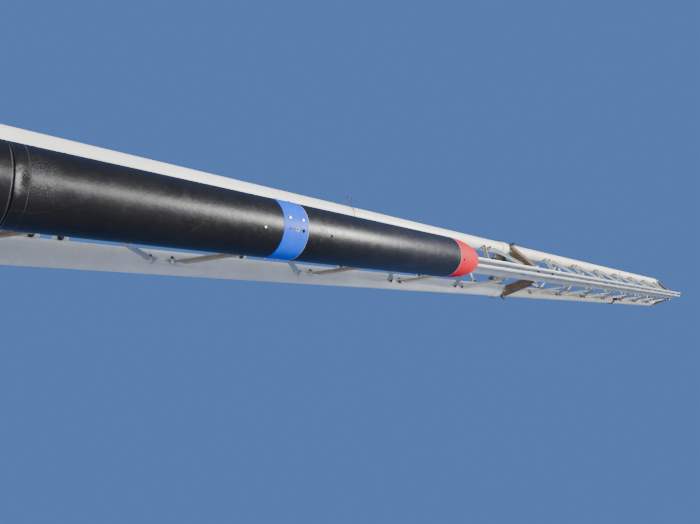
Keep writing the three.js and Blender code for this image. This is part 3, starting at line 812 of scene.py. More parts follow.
def fastener_tree():
    """Stands a bolt or screw on each point, along the point's own direction and with a random turn."""
    tree, given, result = node_group(FASTENERS, "GeometryNodeTree", (
        ("Geometry", GEOMETRY, None),
        ("Sides", INTEGER, 6),
        ("Head Radius", FLOAT, 0.0065),
        ("Head Height", FLOAT, 0.004),
        ("Crown", FLOAT, 0.8),
        ("Washer Radius", FLOAT, 0.009),
        ("Washer Height", FLOAT, 0.0015),
        ("Stud Radius", FLOAT, 0.003),
        ("Stud Height", FLOAT, 0.003),
        ("Seed", INTEGER, 3),
        ("Finish", FINISH, None),
    ), ("Geometry", GEOMETRY))
    washer = rod(tree, 20, given["Washer Radius"], given["Washer Height"])
    washer = on_washer(tree, given, washer, given["Washer Height"], -0.5)
    low_part = calc(tree, "MULTIPLY", given["Head Height"], 0.78)
    head = on_washer(tree, given, rod(tree, given["Sides"], given["Head Radius"], low_part), low_part, 0.5)
    crown = put(tree, "GeometryNodeMeshCone", {
        "Vertices": given["Sides"], "Radius Bottom": given["Head Radius"],
        "Radius Top": calc(tree, "MULTIPLY", given["Head Radius"], given["Crown"]),
        "Depth": calc(tree, "MULTIPLY", given["Head Height"], 0.22)}).outputs[0]
    crown = on_washer(tree, given, crown, low_part, 1.0)
    stud_tall = calc(tree, "ADD", given["Head Height"], given["Stud Height"])
    stud = on_washer(tree, given, rod(tree, 12, given["Stud Radius"], stud_tall), stud_tall, 0.5)
    whole = tree.nodes.new("GeometryNodeJoinGeometry")
    for part in (washer, head, crown, stud):
        tree.links.new(part, whole.inputs[0])
    way = put(tree, "GeometryNodeInputNamedAttribute", {"Name": "facing"}, data_type="FLOAT_VECTOR")
    size = put(tree, "GeometryNodeInputNamedAttribute", {"Name": "size"}, data_type="FLOAT")
    upright = put(tree, "FunctionNodeAlignRotationToVector", {"Vector": way.outputs[0]}, axis="Z").outputs[0]
    turn = put(tree, "FunctionNodeRandomValue", {3: 2 * math.pi, "Seed": given["Seed"]}, data_type="FLOAT")
    about = {"Axis": (0, 0, 1), "Angle": turn.outputs[1]}
    spin = put(tree, "FunctionNodeAxisAngleToRotation", about).outputs[0]
    turned = put(tree, "FunctionNodeRotateRotation", {0: upright, 1: spin}, rotation_space="LOCAL").outputs[0]
    spots = put(tree, "GeometryNodeInstanceOnPoints", {
        "Points": given["Geometry"], "Instance": whole.outputs[0], "Rotation": turned,
        "Scale": size.outputs[0]}).outputs[0]
    real = put(tree, "GeometryNodeRealizeInstances", {0: spots}).outputs[0]
    painted = put(tree, "GeometryNodeSetMaterial", {"Geometry": real, "Material": given["Finish"]})
    tree.links.new(painted.outputs[0], result)
    return tree


def fasteners(name, points, values, finish, body="mast"):
    """Sets fasteners on points of (place, direction, size), as one piece with a plain mesh."""
    source = bpy.data.meshes.new(name + "_points")
    source.from_pydata([Vector(p) * MM for p, _, _ in points], [], [])
    ways = source.attributes.new("facing", "FLOAT_VECTOR", "POINT")
    ways.data.foreach_set("vector", [value for _, way, _ in points for value in Vector(way).normalized()])
    sizes = source.attributes.new("size", "FLOAT", "POINT")
    sizes.data.foreach_set("value", [size for _, _, size in points])
    holder = bpy.data.objects.new(name + "_source", source)
    bpy.context.scene.collection.objects.link(holder)
    tree = bpy.data.node_groups.get(FASTENERS) or fastener_tree()
    grower = holder.modifiers.new("Grow", "NODES")
    grower.node_group = tree
    names = {item.name: item.identifier for item in tree.interface.items_tree if item.in_out == "INPUT"}
    for label, value in {**values, "Finish": material(finish)}.items():
        grower[names[label]] = value
    shown = bpy.context.evaluated_depsgraph_get()
    mesh = bpy.data.meshes.new_from_object(holder.evaluated_get(shown))
    mesh.name = name
    bpy.data.objects.remove(holder)
    mesh.materials.clear()
    mesh.materials.append(material(finish))
    bm = bmesh.new()
    bm.from_mesh(mesh)
    smooth(bm, SHARP)
    for face in bm.faces:
        face.material_index = 0
    bm.to_mesh(mesh)
    bm.free()
    add(name, mesh, body)


# Sizes in metres. A stud with a negative height ends below the top of its head.
HEX_BOLT = {
    "Sides": 6, "Crown": 0.82,
    "Head Radius": 0.0065, "Head Height": 0.0048,
    "Washer Radius": 0.0085, "Washer Height": 0.0014,
    "Stud Radius": 0.0036, "Stud Height": 0.004,
}
LONG_BOLT = {**HEX_BOLT, "Stud Height": 0.009}
PAN_SCREW = {
    "Sides": 20, "Crown": 0.72,
    "Head Radius": 0.0036, "Head Height": 0.0018,
    "Washer Radius": 0.0039, "Washer Height": 0.0003,
    "Stud Radius": 0.0012, "Stud Height": -0.0004,
}


# Where the lacing and the braces run


def on_tube(name, degrees):
    x, y, radius, _ = TUBES[name]
    a = math.radians(degrees)
    reach = radius + GAP - 1
    return Vector((x + reach * math.cos(a), y + reach * math.sin(a)))


def lacing_faces():
    """For each face of the mast, its line on tube a, its line on tube b and its outward direction."""
    front, back = on_tube("front", 20), on_tube("right", 255)
    inner = TUBE_X - TUBE_R - GAP
    middle = Vector((0, (FRONT_TUBE_Y + 2 * TUBE_Y) / 3))
    faces = {
        "left": (Vector((-front.x, front.y)), Vector((-back.x, back.y))),
        "right": (front, back),
        "rear": (Vector((-inner, TUBE_Y)), Vector((inner, TUBE_Y))),
    }
    found = {}
    for name, (a, b) in faces.items():
        inward = (b - a).normalized()
        out = Vector((inward.y, -inward.x))
        if out.dot((a + b) / 2 - middle) < 0:
            out.negate()
        found[name] = (a, b, inward.to_3d(), out.to_3d())
    return found


def brace_line(sign, tube_z, front_z, wall):
    """The middle line of a brace's web, from the front tube to a back tube, and the side of its flanges."""
    dx, dy = TUBE_X - BRACE_FROM[0], TUBE_Y - BRACE_FROM[1]
    turn = math.atan2(dy, dx) - math.asin((TUBE_R + GAP + wall / 2) / math.hypot(dx, dy))
    end_y = BRACE_FROM[1] + (BRACE_END_X - BRACE_FROM[0]) * math.tan(turn)
    start = Vector((sign * BRACE_FROM[0], BRACE_FROM[1], front_z))
    end = Vector((sign * BRACE_END_X, end_y, tube_z))
    return start, end, Vector((-sign * math.sin(turn), math.cos(turn), 0.0))


def room(place, way):
    """How far a piece can reach from a place, in plan, before it meets a mast tube."""
    free = 1000.0
    for x, y, radius, _ in TUBES.values():
        across = Vector((x - place.x, y - place.y))
        ahead = across.dot(way.xy)
        chord = (radius + GAP) ** 2 - across.length_squared + ahead ** 2
        if chord > 0 and ahead + math.sqrt(chord) > 0:
            free = min(free, ahead - math.sqrt(chord))
    return free


# Properties


def colour_property(name, label):
    return bpy.props.FloatVectorProperty(
        name=label, description=f"Base colour of the {label.lower()}", subtype="COLOR",
        size=3, min=0.0, max=1.0, default=FINISHES[name][1])


class LaunchSizes(bpy.types.PropertyGroup):
    """Sizes of the details, in metres."""

    bolt_scale: bpy.props.FloatProperty(
        name="Bolt scale", description="Size of the mast's bolts against M8", default=1.0, min=0.5, max=2.0)
    bolt_spacing: bpy.props.FloatProperty(
        name="Bolt spacing", description="Distance between the two bolts of a lacing end",
        default=0.066, min=0.02, max=0.08, unit="LENGTH")
    weld_size: bpy.props.FloatProperty(
        name="Weld size", description="Radius of the weld beads",
        default=0.0035, min=0.001, max=0.008, unit="LENGTH")


class LaunchColours(bpy.types.PropertyGroup):
    """Colours of the main finishes."""

    body_black: colour_property("body_black", "Body")
    band_blue: colour_property("band_blue", "Band")
    nose_red: colour_property("nose_red", "Nose")
    tube_white: colour_property("tube_white", "Mast tubes")
    brown_primer: colour_property("brown_primer", "Braces")
    base_steel: colour_property("base_steel", "Base")


def bead_size(context):
    """Radius of the weld beads, in millimetres."""
    return context.scene.launch_sizes.weld_size / MM


class LaunchOperator:
    """What every operator here has in common."""

    bl_options = {"REGISTER", "UNDO"}


class LAUNCH_OT_body(LaunchOperator, bpy.types.Operator):
    """Turns the black body tubes with their joint and groove"""

    bl_idname = "launch.body"
    bl_label = "Body tubes"

    def execute(self, context):
        outline = {
            "tail_section": [(0, BODY_BOTTOM), (END_R, BODY_BOTTOM), (BODY_R, BODY_BOTTOM + 0.8),
                             (BODY_R, SEAM_LOW - 0.8), (74.4, SEAM_LOW), (0, SEAM_LOW)],
            "lower_tube": [(0, SEAM_HIGH), (END_R, SEAM_HIGH), (BODY_R, SEAM_HIGH + 1.0),
                           (BODY_R, GROOVE_Z - 0.7), (74.4, GROOVE_Z - 0.3), (74.4, GROOVE_Z + 0.3),
                           (BODY_R, GROOVE_Z + 0.7), (BODY_R, BAND_BOTTOM - 0.8), (74.6, BAND_BOTTOM - GAP),
                           (0, BAND_BOTTOM - GAP)],
        }
        for name, profile in outline.items():
            bm = bmesh.new()
            lathe(bm, profile, ROCKET, SKIN_STEPS)
            piece("body_" + name, bm, ["body_black"], "mast", [name])
        bm = bmesh.new()
        skin = [(0, BAND_TOP + GAP), (74.6, BAND_TOP + GAP), (BODY_R, BAND_TOP + 0.8),
                (BODY_R, NOSE_BASE - 1.1), (74.5, NOSE_BASE - GAP), (BORE_R, NOSE_BASE - GAP)]
        bore = [(BORE_R, NOSE_BASE - 2.0), (BORE_R, BORE_FLOOR), (0, BORE_FLOOR)]
        lathe(bm, skin + bore, ROCKET, SKIN_STEPS)
        for face in bm.faces:
            middle = face.calc_center_median()
            out = math.hypot(middle.x - RAIL_X, middle.y - ROCKET_Y)
            if middle.z > BORE_FLOOR - 1 and out < BORE_R + 0.5:
                face.material_index = 1
        piece("body_upper_tube", bm, ["body_black", "bare_laminate"], "mast", ["upper_tube"])
        # The gap between the tail section and the lower tube is filled with a ring painted near black as the
        # gap's shade.
        bm = bmesh.new()
        low, high = SEAM_LOW + 0.1, SEAM_HIGH - 0.1
        lathe(bm, [(60, low), (73.2, low), (73.2, high), (60, high), (60, low)], ROCKET)
        piece("seam_ring", bm, ["hole_shade_black"], "mast", ["joint_ring"])
        bm = bmesh.new()
        for low, high in ((SEAM_LOW - 2.2, SEAM_LOW - 1.5), (GROOVE_Z - 0.6, GROOVE_Z - 0.1)):
            profile = [(73.6, low), (75.0, low), (75.1, low + 0.1), (75.1, high), (73.6, high), (73.6, low)]
            lathe(bm, profile, ROCKET, SKIN_STEPS)
        piece("joint_lines", bm, ["worn_edge"], "mast")
        return {"FINISHED"}


class LAUNCH_OT_band(LaunchOperator, bpy.types.Operator):
    """Turns the blue band and its pale upper edge"""

    bl_idname = "launch.band"
    bl_label = "Blue band"

    def execute(self, context):
        bm = bmesh.new()
        lathe(bm, [(0, BAND_BOTTOM), (74.8, BAND_BOTTOM), (BAND_R, BAND_BOTTOM + 0.5),
                   (BAND_R, BAND_TOP - 0.5), (74.8, BAND_TOP), (0, BAND_TOP)], ROCKET, SKIN_STEPS)
        piece("blue_band", bm, ["band_blue"], "mast", ["colour_band"])
        bm = bmesh.new()
        low, high = BAND_TOP + 0.1, BAND_TOP + 0.9
        ring = [(END_R, low), (75.25, low), (75.25, high), (END_R, high), (END_R, low)]
        lathe(bm, ring, ROCKET, SKIN_STEPS)
        piece("band_edge", bm, ["pale_edge"], "mast")
        return {"FINISHED"}


class LAUNCH_OT_nose(LaunchOperator, bpy.types.Operator):
    """Turns the coral nose with its shoulder, vents and bright base line"""

    bl_idname = "launch.nose"
    bl_label = "Nose cone"

    def execute(self, context):
        shoulder_end = NOSE_BASE - SHOULDER_LENGTH
        profile = [(0, shoulder_end), (SHOULDER_R - 2, shoulder_end), (SHOULDER_R, shoulder_end + 2),
                   (SHOULDER_R, NOSE_BASE), (BODY_R - 0.4, NOSE_BASE), (BODY_R, NOSE_BASE + 0.5)]
        count = 44
        for i in range(1, count + 1):
            a = math.pi / 2 * i / count
            radius = 0 if i == count else BODY_R * math.cos(a)
            profile.append((radius, NOSE_BASE + NOSE_LENGTH * math.sin(a)))
        bm = bmesh.new()
        lathe(bm, profile, ROCKET, SKIN_STEPS, splits=(NOSE_BASE - 0.1,))
        piece("nose_shell", bm, ["bare_laminate", "nose_red"], "nose", ["nose_cone"])
        bm = bmesh.new()
        low, high = NOSE_BASE + 0.2, NOSE_BASE + 0.9
        ring = [(END_R, low), (75.1, low), (75.08, high), (END_R, high), (END_R, low)]
        lathe(bm, ring, ROCKET, SKIN_STEPS)
        for degrees in (-90.6, 29.4, 149.4):
            port(bm, degrees, 1894.5, 4.0, 4.5, radius=74.8, first=1)
        piece("nose_trim", bm, ["pale_edge", "hole_shade_black", "nose_red"], "nose")
        return {"FINISHED"}


class LAUNCH_OT_fittings(LaunchOperator, bpy.types.Operator):
    """Sets the vents, bushings and screws into the body and the band"""

    bl_idname = "launch.fittings"
    bl_label = "Vents and screws"

    def execute(self, context):
        bm = bmesh.new()
        # Turn, height, radius of the hole and radius of its rim, for the holes of the band.
        holes = ((-95.9, 1045.7, 1.5, 1.9), (-96.5, 1054.1, 1.4, 1.8), (-95.4, 1090.0, 4.2, 4.8))
        for turn in (0, 180):
            for degrees, z, hole, rim in holes:
                port(bm, degrees + turn, z, hole, rim, BAND_R)
        for turn in (0, 120, 240):
            port(bm, turn - 94.9, 1192.3, 3.6, 4.1)
            port(bm, turn - 92.6, 1850.6, 2.9, 3.3)
        piece("vents", bm, ["hole_shade_black", "dark_bolt"], "mast")
        bm = bmesh.new()
        for turn in (0, 180):
            port(bm, -96.3 + turn, 1069.0, 2.4, 6.2, BAND_R, proud=0.6)
        piece("bushings", bm, ["hole_shade_black", "olive_ring"], "mast")
        # Turn of each pair of screws in the band. The upper one of a pair stands 1.1 degrees further round.
        pairs = (-117.8, 62.2, 2.2, -177.8)
        spots = [(*on_body(degrees + turn, z, BAND_R), 1.0) for degrees in pairs
                 for turn, z in ((0.0, 1046.1), (1.1, 1089.1))]
        spots += [(*on_body(degrees, 969.9), 0.8) for degrees in (-90.4, 29.6, 149.6)]
        fasteners("body_screws", spots, PAN_SCREW, "zinc_bolt")
        return {"FINISHED"}


class LAUNCH_OT_fins(LaunchOperator, bpy.types.Operator):
    """Cuts the four bevelled fins with their root fillets, and the tail's screws"""

    bl_idname = "launch.fins"
    bl_label = "Fins"

    def execute(self, context):
        root, tip = BODY_R + GAP, 195.0
        # A fin's edge, and the flat part of its sides inside the bevel: distance from the axis and height.
        rim = [(root, 190), (tip, 190), (tip, 290), (root, 420)]
        flat = [(root, 203), (tip - 11, 203), (tip - 11, 284), (root, 401)]
        for name, degrees in FIN_ANGLES.items():
            bm = bmesh.new()
            sides = []
            for sign in (1, -1):
                outer = [bm.verts.new((r, sign * 0.7, z)) for r, z in rim]
                inner = [bm.verts.new((r, sign * 2.5, z)) for r, z in flat]
                bm.faces.new(inner)
                for i in range(3):
                    bm.faces.new((outer[i], outer[i + 1], inner[i + 1], inner[i]))
                sides.append((outer, inner))
            (outer, inner), (outer2, inner2) = sides
            for i in range(3):
                bm.faces.new((outer[i], outer[i + 1], outer2[i + 1], outer2[i]))
            bm.faces.new((outer[0], inner[0], inner[3], outer[3], outer2[3], inner2[3], inner2[0], outer2[0]))
            for sign in (1, -1):
                curve = [(END_R, sign * 9.0), (END_R, sign * 2.2), (root + 8, sign * 2.6),
                         (root + 3.4, sign * 3.6), (root + 0.9, sign * 6.0)]
                prism(bm, curve, 206.0, 398.0)
            bm.transform(Matrix.Translation((*ROCKET, 0)) @ Matrix.Rotation(math.radians(degrees), 4, "Z"))
            piece("fin_plate_" + name, bm, ["body_black"], "mast", ["fin_" + name], sharp=20.0)
        spots = [(*on_body(degrees, SCREW_Z), 0.8) for degrees in (0, 90, 180, 270)]
        fasteners("tail_screws", spots, PAN_SCREW, "zinc_bolt")
        dress("nozzle_metal", "bare_metal", "nozzle")
        bm = bmesh.new()
        ring = [(44, 171.5), (70, 171.5), (71, 172.5), (71, 174.9), (44, 174.9), (44, 171.5)]
        lathe(bm, ring, ROCKET)
        piece("tail_ring", bm, ["bare_metal"], "mast")
        dress("black_plastic", "bare_metal", "rail_button_lower", "rail_button_upper")
        return {"FINISHED"}


class LAUNCH_OT_rail(LaunchOperator, bpy.types.Operator):
    """Extrudes the slotted rail with its saddles and the screws in its slot"""

    bl_idname = "launch.rail"
    bl_label = "Rail"

    def execute(self, context):
        slot_half, cavity_half = 7.5, 14.0
        right = [(slot_half, RAIL_FRONT), (RAIL_HALF, RAIL_FRONT), (RAIL_HALF, -15), (RAIL_HALF - 3, -15),
                 (RAIL_HALF - 3, -5), (RAIL_HALF, -5), (RAIL_HALF, RAIL_BACK)]
        right_r = [1.4, 2.4, 0.5, 0.4, 0.4, 0.5, 2.4]
        slot = [(-slot_half, LIP_BACK), (-cavity_half, LIP_BACK), (-cavity_half, CAVITY_BACK),
                (cavity_half, CAVITY_BACK), (cavity_half, LIP_BACK), (slot_half, LIP_BACK)]
        left = [(-x, y) for x, y in right[::-1]]
        outline = rounded(right + left + slot, right_r + right_r[::-1] + [0.8, 1.5, 2.5, 2.5, 1.5, 0.8])
        outline = [(x + RAIL_X, y) for x, y in outline]
        reach = FRONT_TUBE_R + GAP
        edge_x, back_y = RAIL_X + RAIL_HALF + 6, FRONT_TUBE_Y - 6
        first = math.atan2(-math.sqrt(reach ** 2 - edge_x ** 2), edge_x)
        last = math.atan2(-6, -math.sqrt(reach ** 2 - 36))
        arc = [first + (last - first) * i / 16 for i in range(17)]
        saddle = [(RAIL_X - 18, RAIL_BACK - 1), (edge_x, RAIL_BACK - 1)]
        saddle += [(reach * math.cos(a), FRONT_TUBE_Y + reach * math.sin(a)) for a in arc]
        saddle.append((RAIL_X - 18, back_y))
        ends = {"lower": (RAIL_FLOOR, RAIL_JOINT), "upper": (RAIL_JOINT + GAP, RAIL_TOP)}
        screws = []
        for section, (low, high) in ends.items():
            bm = bmesh.new()
            prism(bm, outline, low, high)
            for z in SADDLES[section]:
                prism(bm, saddle, z, z + 50)
                screws += [((RAIL_X - 18, 24.0, z + h), (-1, 0, 0), 0.75) for h in (12, 38)]
            piece("rail_profile_" + section, bm, ["rail_aluminium"], "mast",
                  ["rail_" + section], sharp=25.0)
        fasteners("saddle_screws", screws, HEX_BOLT, "zinc_bolt")
        spots = [((RAIL_X, CAVITY_BACK, z), (0, -1, 0), 0.8) for z in (3108, 3322)]
        fasteners("slot_screws", spots, HEX_BOLT, "dark_bolt")
        dress("bare_metal", "bare_metal", "rail_stop")
        return {"FINISHED"}


class LAUNCH_OT_tubes(LaunchOperator, bpy.types.Operator):
    """Turns the three mast tubes with their sleeves, caps and weld rings"""

    bl_idname = "launch.tubes"
    bl_label = "Mast tubes"

    def execute(self, context):
        caps, welds = bmesh.new(), bmesh.new()
        size = bead_size(context)
        for name, (x, y, outer, top) in TUBES.items():
            centre, inner = (x, y), outer - TUBE_WALL
            lengths = (("lower", FOOT_TOP + GAP, TUBE_JOINT), ("upper", TUBE_JOINT + GAP, top))
            for section, low, high in lengths:
                profile = [(inner, low), (outer - 0.6, low), (outer, low + 0.6), (outer, high - 0.6),
                           (outer - 0.6, high), (inner, high), (inner, low)]
                bm = bmesh.new()
                lathe(bm, profile, centre, steps=72)
                piece(f"tube_{name}_{section}", bm, ["tube_white"], "mast",
                      [f"mast_tube_{name}_{section}"])
            cap = [(0, top - 14), (inner - 0.4, top - 14), (inner - 0.4, top + 0.2), (outer - 0.2, top + 0.2),
                   (outer, top + 1.2), (outer - 0.8, top + 4.4), (outer - 5, top + 6.2), (0, top + 6.6)]
            lathe(caps, cap, centre, steps=48)
            weld(welds, ring_points(centre, outer + 1.0, FOOT_TOP + 1.0, 52), size, loop=True)
        piece("tube_caps", caps, ["black_plastic"], "mast")
        piece("foot_welds", welds, ["brown_primer"], "mast", sharp=SHARP_ROUND)
        screws = []
        for side, sign in SIDES:
            centre = (sign * TUBE_X, TUBE_Y)
            low, high = SLEEVE
            inner, outer = TUBE_R + GAP, TUBE_R + 4
            profile = [(inner, low), (outer - 0.8, low), (outer, low + 0.8), (outer, high - 0.8),
                       (outer - 0.8, high), (inner, high), (inner, low)]
            bm = bmesh.new()
            lathe(bm, profile, centre, steps=72)
            piece("sleeve_" + side, bm, ["tube_white"], "mast", ["tube_sleeve_" + side])
            for z in (low + 16, high - 16):
                screws.append(((centre[0] + sign * outer, TUBE_Y, z), (sign, 0, 0), 0.8))
        screws.append(((-TUBE_X - 11.6, TUBE_Y - 33.0, 5504), (-0.35, -1, 0), 0.95))
        screws.append(((TUBE_X - 10, TUBE_Y - TUBE_R - 22, 5460), (0, -1, 0), 1.0))
        fasteners("tube_screws", screws, HEX_BOLT, "dark_bolt")
        bm = bmesh.new()
        tie = ring_points((-TUBE_X, TUBE_Y), TUBE_R + WIRE_R, 1728.0, 40)
        wire(bm, tie, [WIRE_R] * len(tie), loop=True)
        tail = [
            (-139.6, 210.2, 1728), (-152, 209, 1718), (-167, 209, 1704), (-177, 209, 1692), (-183, 209, 1678),
            (-188, 209, 1672), (-195, 209, 1676), (-198, 209, 1684), (-196, 209, 1694), (-190, 209, 1700),
            (-180, 210, 1699), (-173, 212, 1691), (-169, 212, 1676), (-166, 212, 1660), (-165, 212, 1644),
        ]
        wire(bm, tail, [WIRE_R] * len(tail))
        piece("tie_wire", bm, ["dark_bolt"], "mast", sharp=SHARP_ROUND)
        dress("dark_bolt", "base_steel", "tube_clamp")
        return {"FINISHED"}


class LAUNCH_OT_lacing(LaunchOperator, bpy.types.Operator):
    """Laces the mast with angle bars whose flattened ends are bolted to tabs on the tubes"""

    bl_idname = "launch.lacing"
    bl_label = "Lacing"

    def execute(self, context):
        sizes = context.scene.launch_sizes
        half = sizes.bolt_spacing / MM / 2
        fields = {"zinc_bolt": [], "dark_bolt": []}
        faces = lacing_faces()
        for face, part, first, step, count, on_a in LACINGS:
            a, b, inward, out = faces[face]
            ends = (a.to_3d() + inward * TAB_WIDTH / 2, b.to_3d() - inward * TAB_WIDTH / 2)
            bm = bmesh.new()
            for i in range(count):
                at_a = on_a == (i % 2 == 0)
                here, there = ends if at_a else ends[::-1]
                z = first + i * step
                if i + 1 < count:
                    low = here + Vector((0, 0, z + half))
                    high = there + Vector((0, 0, z + step - half))
                    self.bar(bm, low, high, out, int(part == "lower" and i in TAN_BARS[face]))
                for shift in (-half, half):
                    if 0 <= i + shift / half < count:
                        spot = here + Vector((0, 0, z + shift))
                        self.tab(bm, spot, inward if at_a else -inward, out)
                        # Painted shade: the same bolts take the dark finish where they stand in shadow, at
                        # the back tubes, on the rear face and inside the mast; those at the front tube and
                        # the low ones of the lower section take zinc.
                        near = part == "lower" and i < 6
                        finish = "zinc_bolt" if near or at_a and face != "rear" else "dark_bolt"
                        fields[finish].append((spot + out * (LACE_THICK + 0.2), out, sizes.bolt_scale))
                        fields["dark_bolt"].append((spot - out * TAB_THICK, -out, sizes.bolt_scale * 0.9))
            piece(f"bars_{face}_{part}", bm, ["lacing_steel", "lacing_tan"], "mast",
                  [f"lacing_{face}_{part}"], sharp=25.0)
        for finish, spots in fields.items():
            fasteners("lacing_" + finish, spots, HEX_BOLT, finish)
        return {"FINISHED"}

    @staticmethod
    def bar(bm, low, high, out, index):
        """An angle bar between two bolts. Its standing leg runs out towards the flat, rounded ends."""
        along = (high - low).normalized()
        up = along.cross(out)
        up = up if up.z > 0 else -up
        length = (high - low).length
        half, flat = LACE_WIDTH / 2, LACE_THICK + 0.3
        # Distance from the bolt, half width, height of the leg. A tan bar is slimmer past its ends.
        start = [(-10.0, 3.6, flat), (-8.4, 6.4, flat), (-5.4, 8.4, flat), (-1.5, half, flat),
                 (15.0, half, flat), (34.0, 6.2 if index else half, LACE_LEG)]
        stations = start + [(length - s, w, leg) for s, w, leg in start[::-1]]
        sections = []
        for s, w, leg in stations:
            inner = w - LACE_THICK
            shape = [(-w, 0), (w, 0), (w, leg), (inner, leg), (inner, LACE_THICK), (-w, LACE_THICK)]
            sections.append([low + along * s + up * u + out * (v + 0.2) for u, v in shape])
        loft(bm, sections, index)

    @staticmethod
    def tab(bm, spot, away, out):
        """A short tab welded to the tube behind a bar's end."""
        matrix = Matrix((away, Vector((0, 0, 1)), out)).transposed().to_4x4()
        matrix.translation = spot
        half, tall = TAB_WIDTH / 2, 19
        corners = [(-half, -tall), (half, -tall), (half, tall), (-half, tall)]
        prism(bm, rounded(corners, [0, 5, 5, 0]), -TAB_THICK, 0.0, matrix)


class LAUNCH_OT_braces(LaunchOperator, bpy.types.Operator):
    """Folds the brown channel braces and bolts them and the plates to the tubes"""

    bl_idname = "launch.braces"
    bl_label = "Braces"

    def execute(self, context):
        dress("olive_primer", "brown_primer", "middle_plate", "top_plate")
        heads, nuts = [], []
        for side, sign in SIDES:
            for level, tube_z, front_z, web, flange, wall in BRACES:
                start, end, inward = brace_line(sign, tube_z, front_z, wall)
                along = (end - start).normalized()
                up = along.cross(inward)
                up = up if up.z > 0 else -up
                bm = bmesh.new()
                first = self.channel(bm, start, end, along, up, inward, web, flange, wall)
                piece(f"{level}_channel_{side}", bm, ["brown_primer"], "mast",
                      [f"{level}_brace_{side}"], sharp=50.0)
                plan = along.xy.normalized()
                to_tube = plan.dot(Vector((sign * TUBE_X, TUBE_Y)) - start.xy) / along.xy.length
                size = 1.25 if level == "middle" else 0.8
                for shift in (-0.26 * web, 0.26 * web):
                    face = start + up * shift - inward * wall / 2
                    nuts.append((face + along * (to_tube - 4), -inward, size))
                    heads.append((face + along * (first + 16), -inward, size * 0.9))
                under = start - up * web / 2 + inward * flange * 0.4
                heads.append((under + along * 0.86 * to_tube, -up, size * 0.5))
            for x in (20, 60):
                for face in (-1, 1):
                    nuts += [((sign * x, TUBE_Y + 3 * face, z), (0, face, 0), 1.0) for z in (3031, 3162)]
            nuts += [((sign * 62, TUBE_Y + 3 * face, 7065), (0, face, 0), 1.0) for face in (-1, 1)]
        fasteners("brace_bolts", heads, HEX_BOLT, "zinc_bolt")
        fasteners("brace_nuts", nuts, LONG_BOLT, "dark_bolt")
        return {"FINISHED"}

    @staticmethod
    def channel(bm, start, end, along, up, inward, web, flange, wall):
        """Folds one channel. Its flanges are cut round where the tubes pass. Returns where it begins."""
        half, reach = wall / 2, flange - wall / 2
        corners = [(-half, -web / 2), (-half, web / 2), (reach, web / 2), (reach, web / 2 - wall),
                   (half, web / 2 - wall), (half, wall - web / 2), (reach, wall - web / 2), (reach, -web / 2)]
        radii = [wall * 1.4, wall * 1.4, 0.8, 0.8, wall * 0.4, wall * 0.4, 0.8, 0.8]
        shape = rounded(corners, radii, steps=3)
        length = (end - start).length
        sections, first = [], None
        for k in range(61):
            s = length * k / 60
            spots = [start + along * s + up * shift + inward * half for shift in (-web / 2, 0, web / 2)]
            free = min(room(spot, inward) for spot in spots)
            if free < -0.6:
                continue
            first = s if first is None else first
            limit = half + max(free, 0.4)
            sections.append([start + along * s + up * v + inward * min(u, limit) for u, v in shape])
        loft(bm, sections)
        return first


class LAUNCH_OT_foot(LaunchOperator, bpy.types.Operator):
    """Finishes the mast's foot plate and hinge ears with welds and clamp bolts"""

    bl_idname = "launch.foot"
    bl_label = "Mast foot"

    def execute(self, context):
        dress("brown_primer", "brown_primer", "foot_plate", "foot_ear_left", "foot_ear_right")
        size = bead_size(context)
        bm = bmesh.new()
        for _, sign in SIDES:
            for edge in (-6, 6):
                x = sign * EAR_X + edge
                weld(bm, [(x, HINGE_Y - 96, 172.0), (x, FOOT_BACK - 5, 172.0)], size)
                weld(bm, [(x, FOOT_BACK + 0.4, 173.0), (x, FOOT_BACK + 0.4, 180.0)], size * 0.8)
        piece("ear_welds", bm, ["brown_primer"], "mast", sharp=SHARP_ROUND)
        bm = bmesh.new()
        for _, sign in SIDES:
            for way, reach in (((-0.2 * sign, -1, 0), 26), ((0.9 * sign, -0.1, 0), 6)):
                along = Vector(way).normalized()
                up = Vector((0, 0, 1))
                matrix = Matrix((along, up, along.cross(up))).transposed().to_4x4()
                matrix.translation = Vector((sign * TUBE_X, TUBE_Y, FOOT_TOP + GAP)) + along * (TUBE_R + 0.4)
                prism(bm, [(0, 0), (reach, 0), (reach, 5), (3, 46), (0, 46)], -2.5, 2.5, matrix)
        piece("foot_gussets", bm, ["brown_primer"], "mast")
        bolts = [((x, y, FOOT_TOP), (0, 0, 1), 1.5) for x, y in ((-53, -34), (36, -34), (62, -6))]
        fasteners("clamp_bolts", bolts, HEX_BOLT, "zinc_bolt")
        return {"FINISHED"}


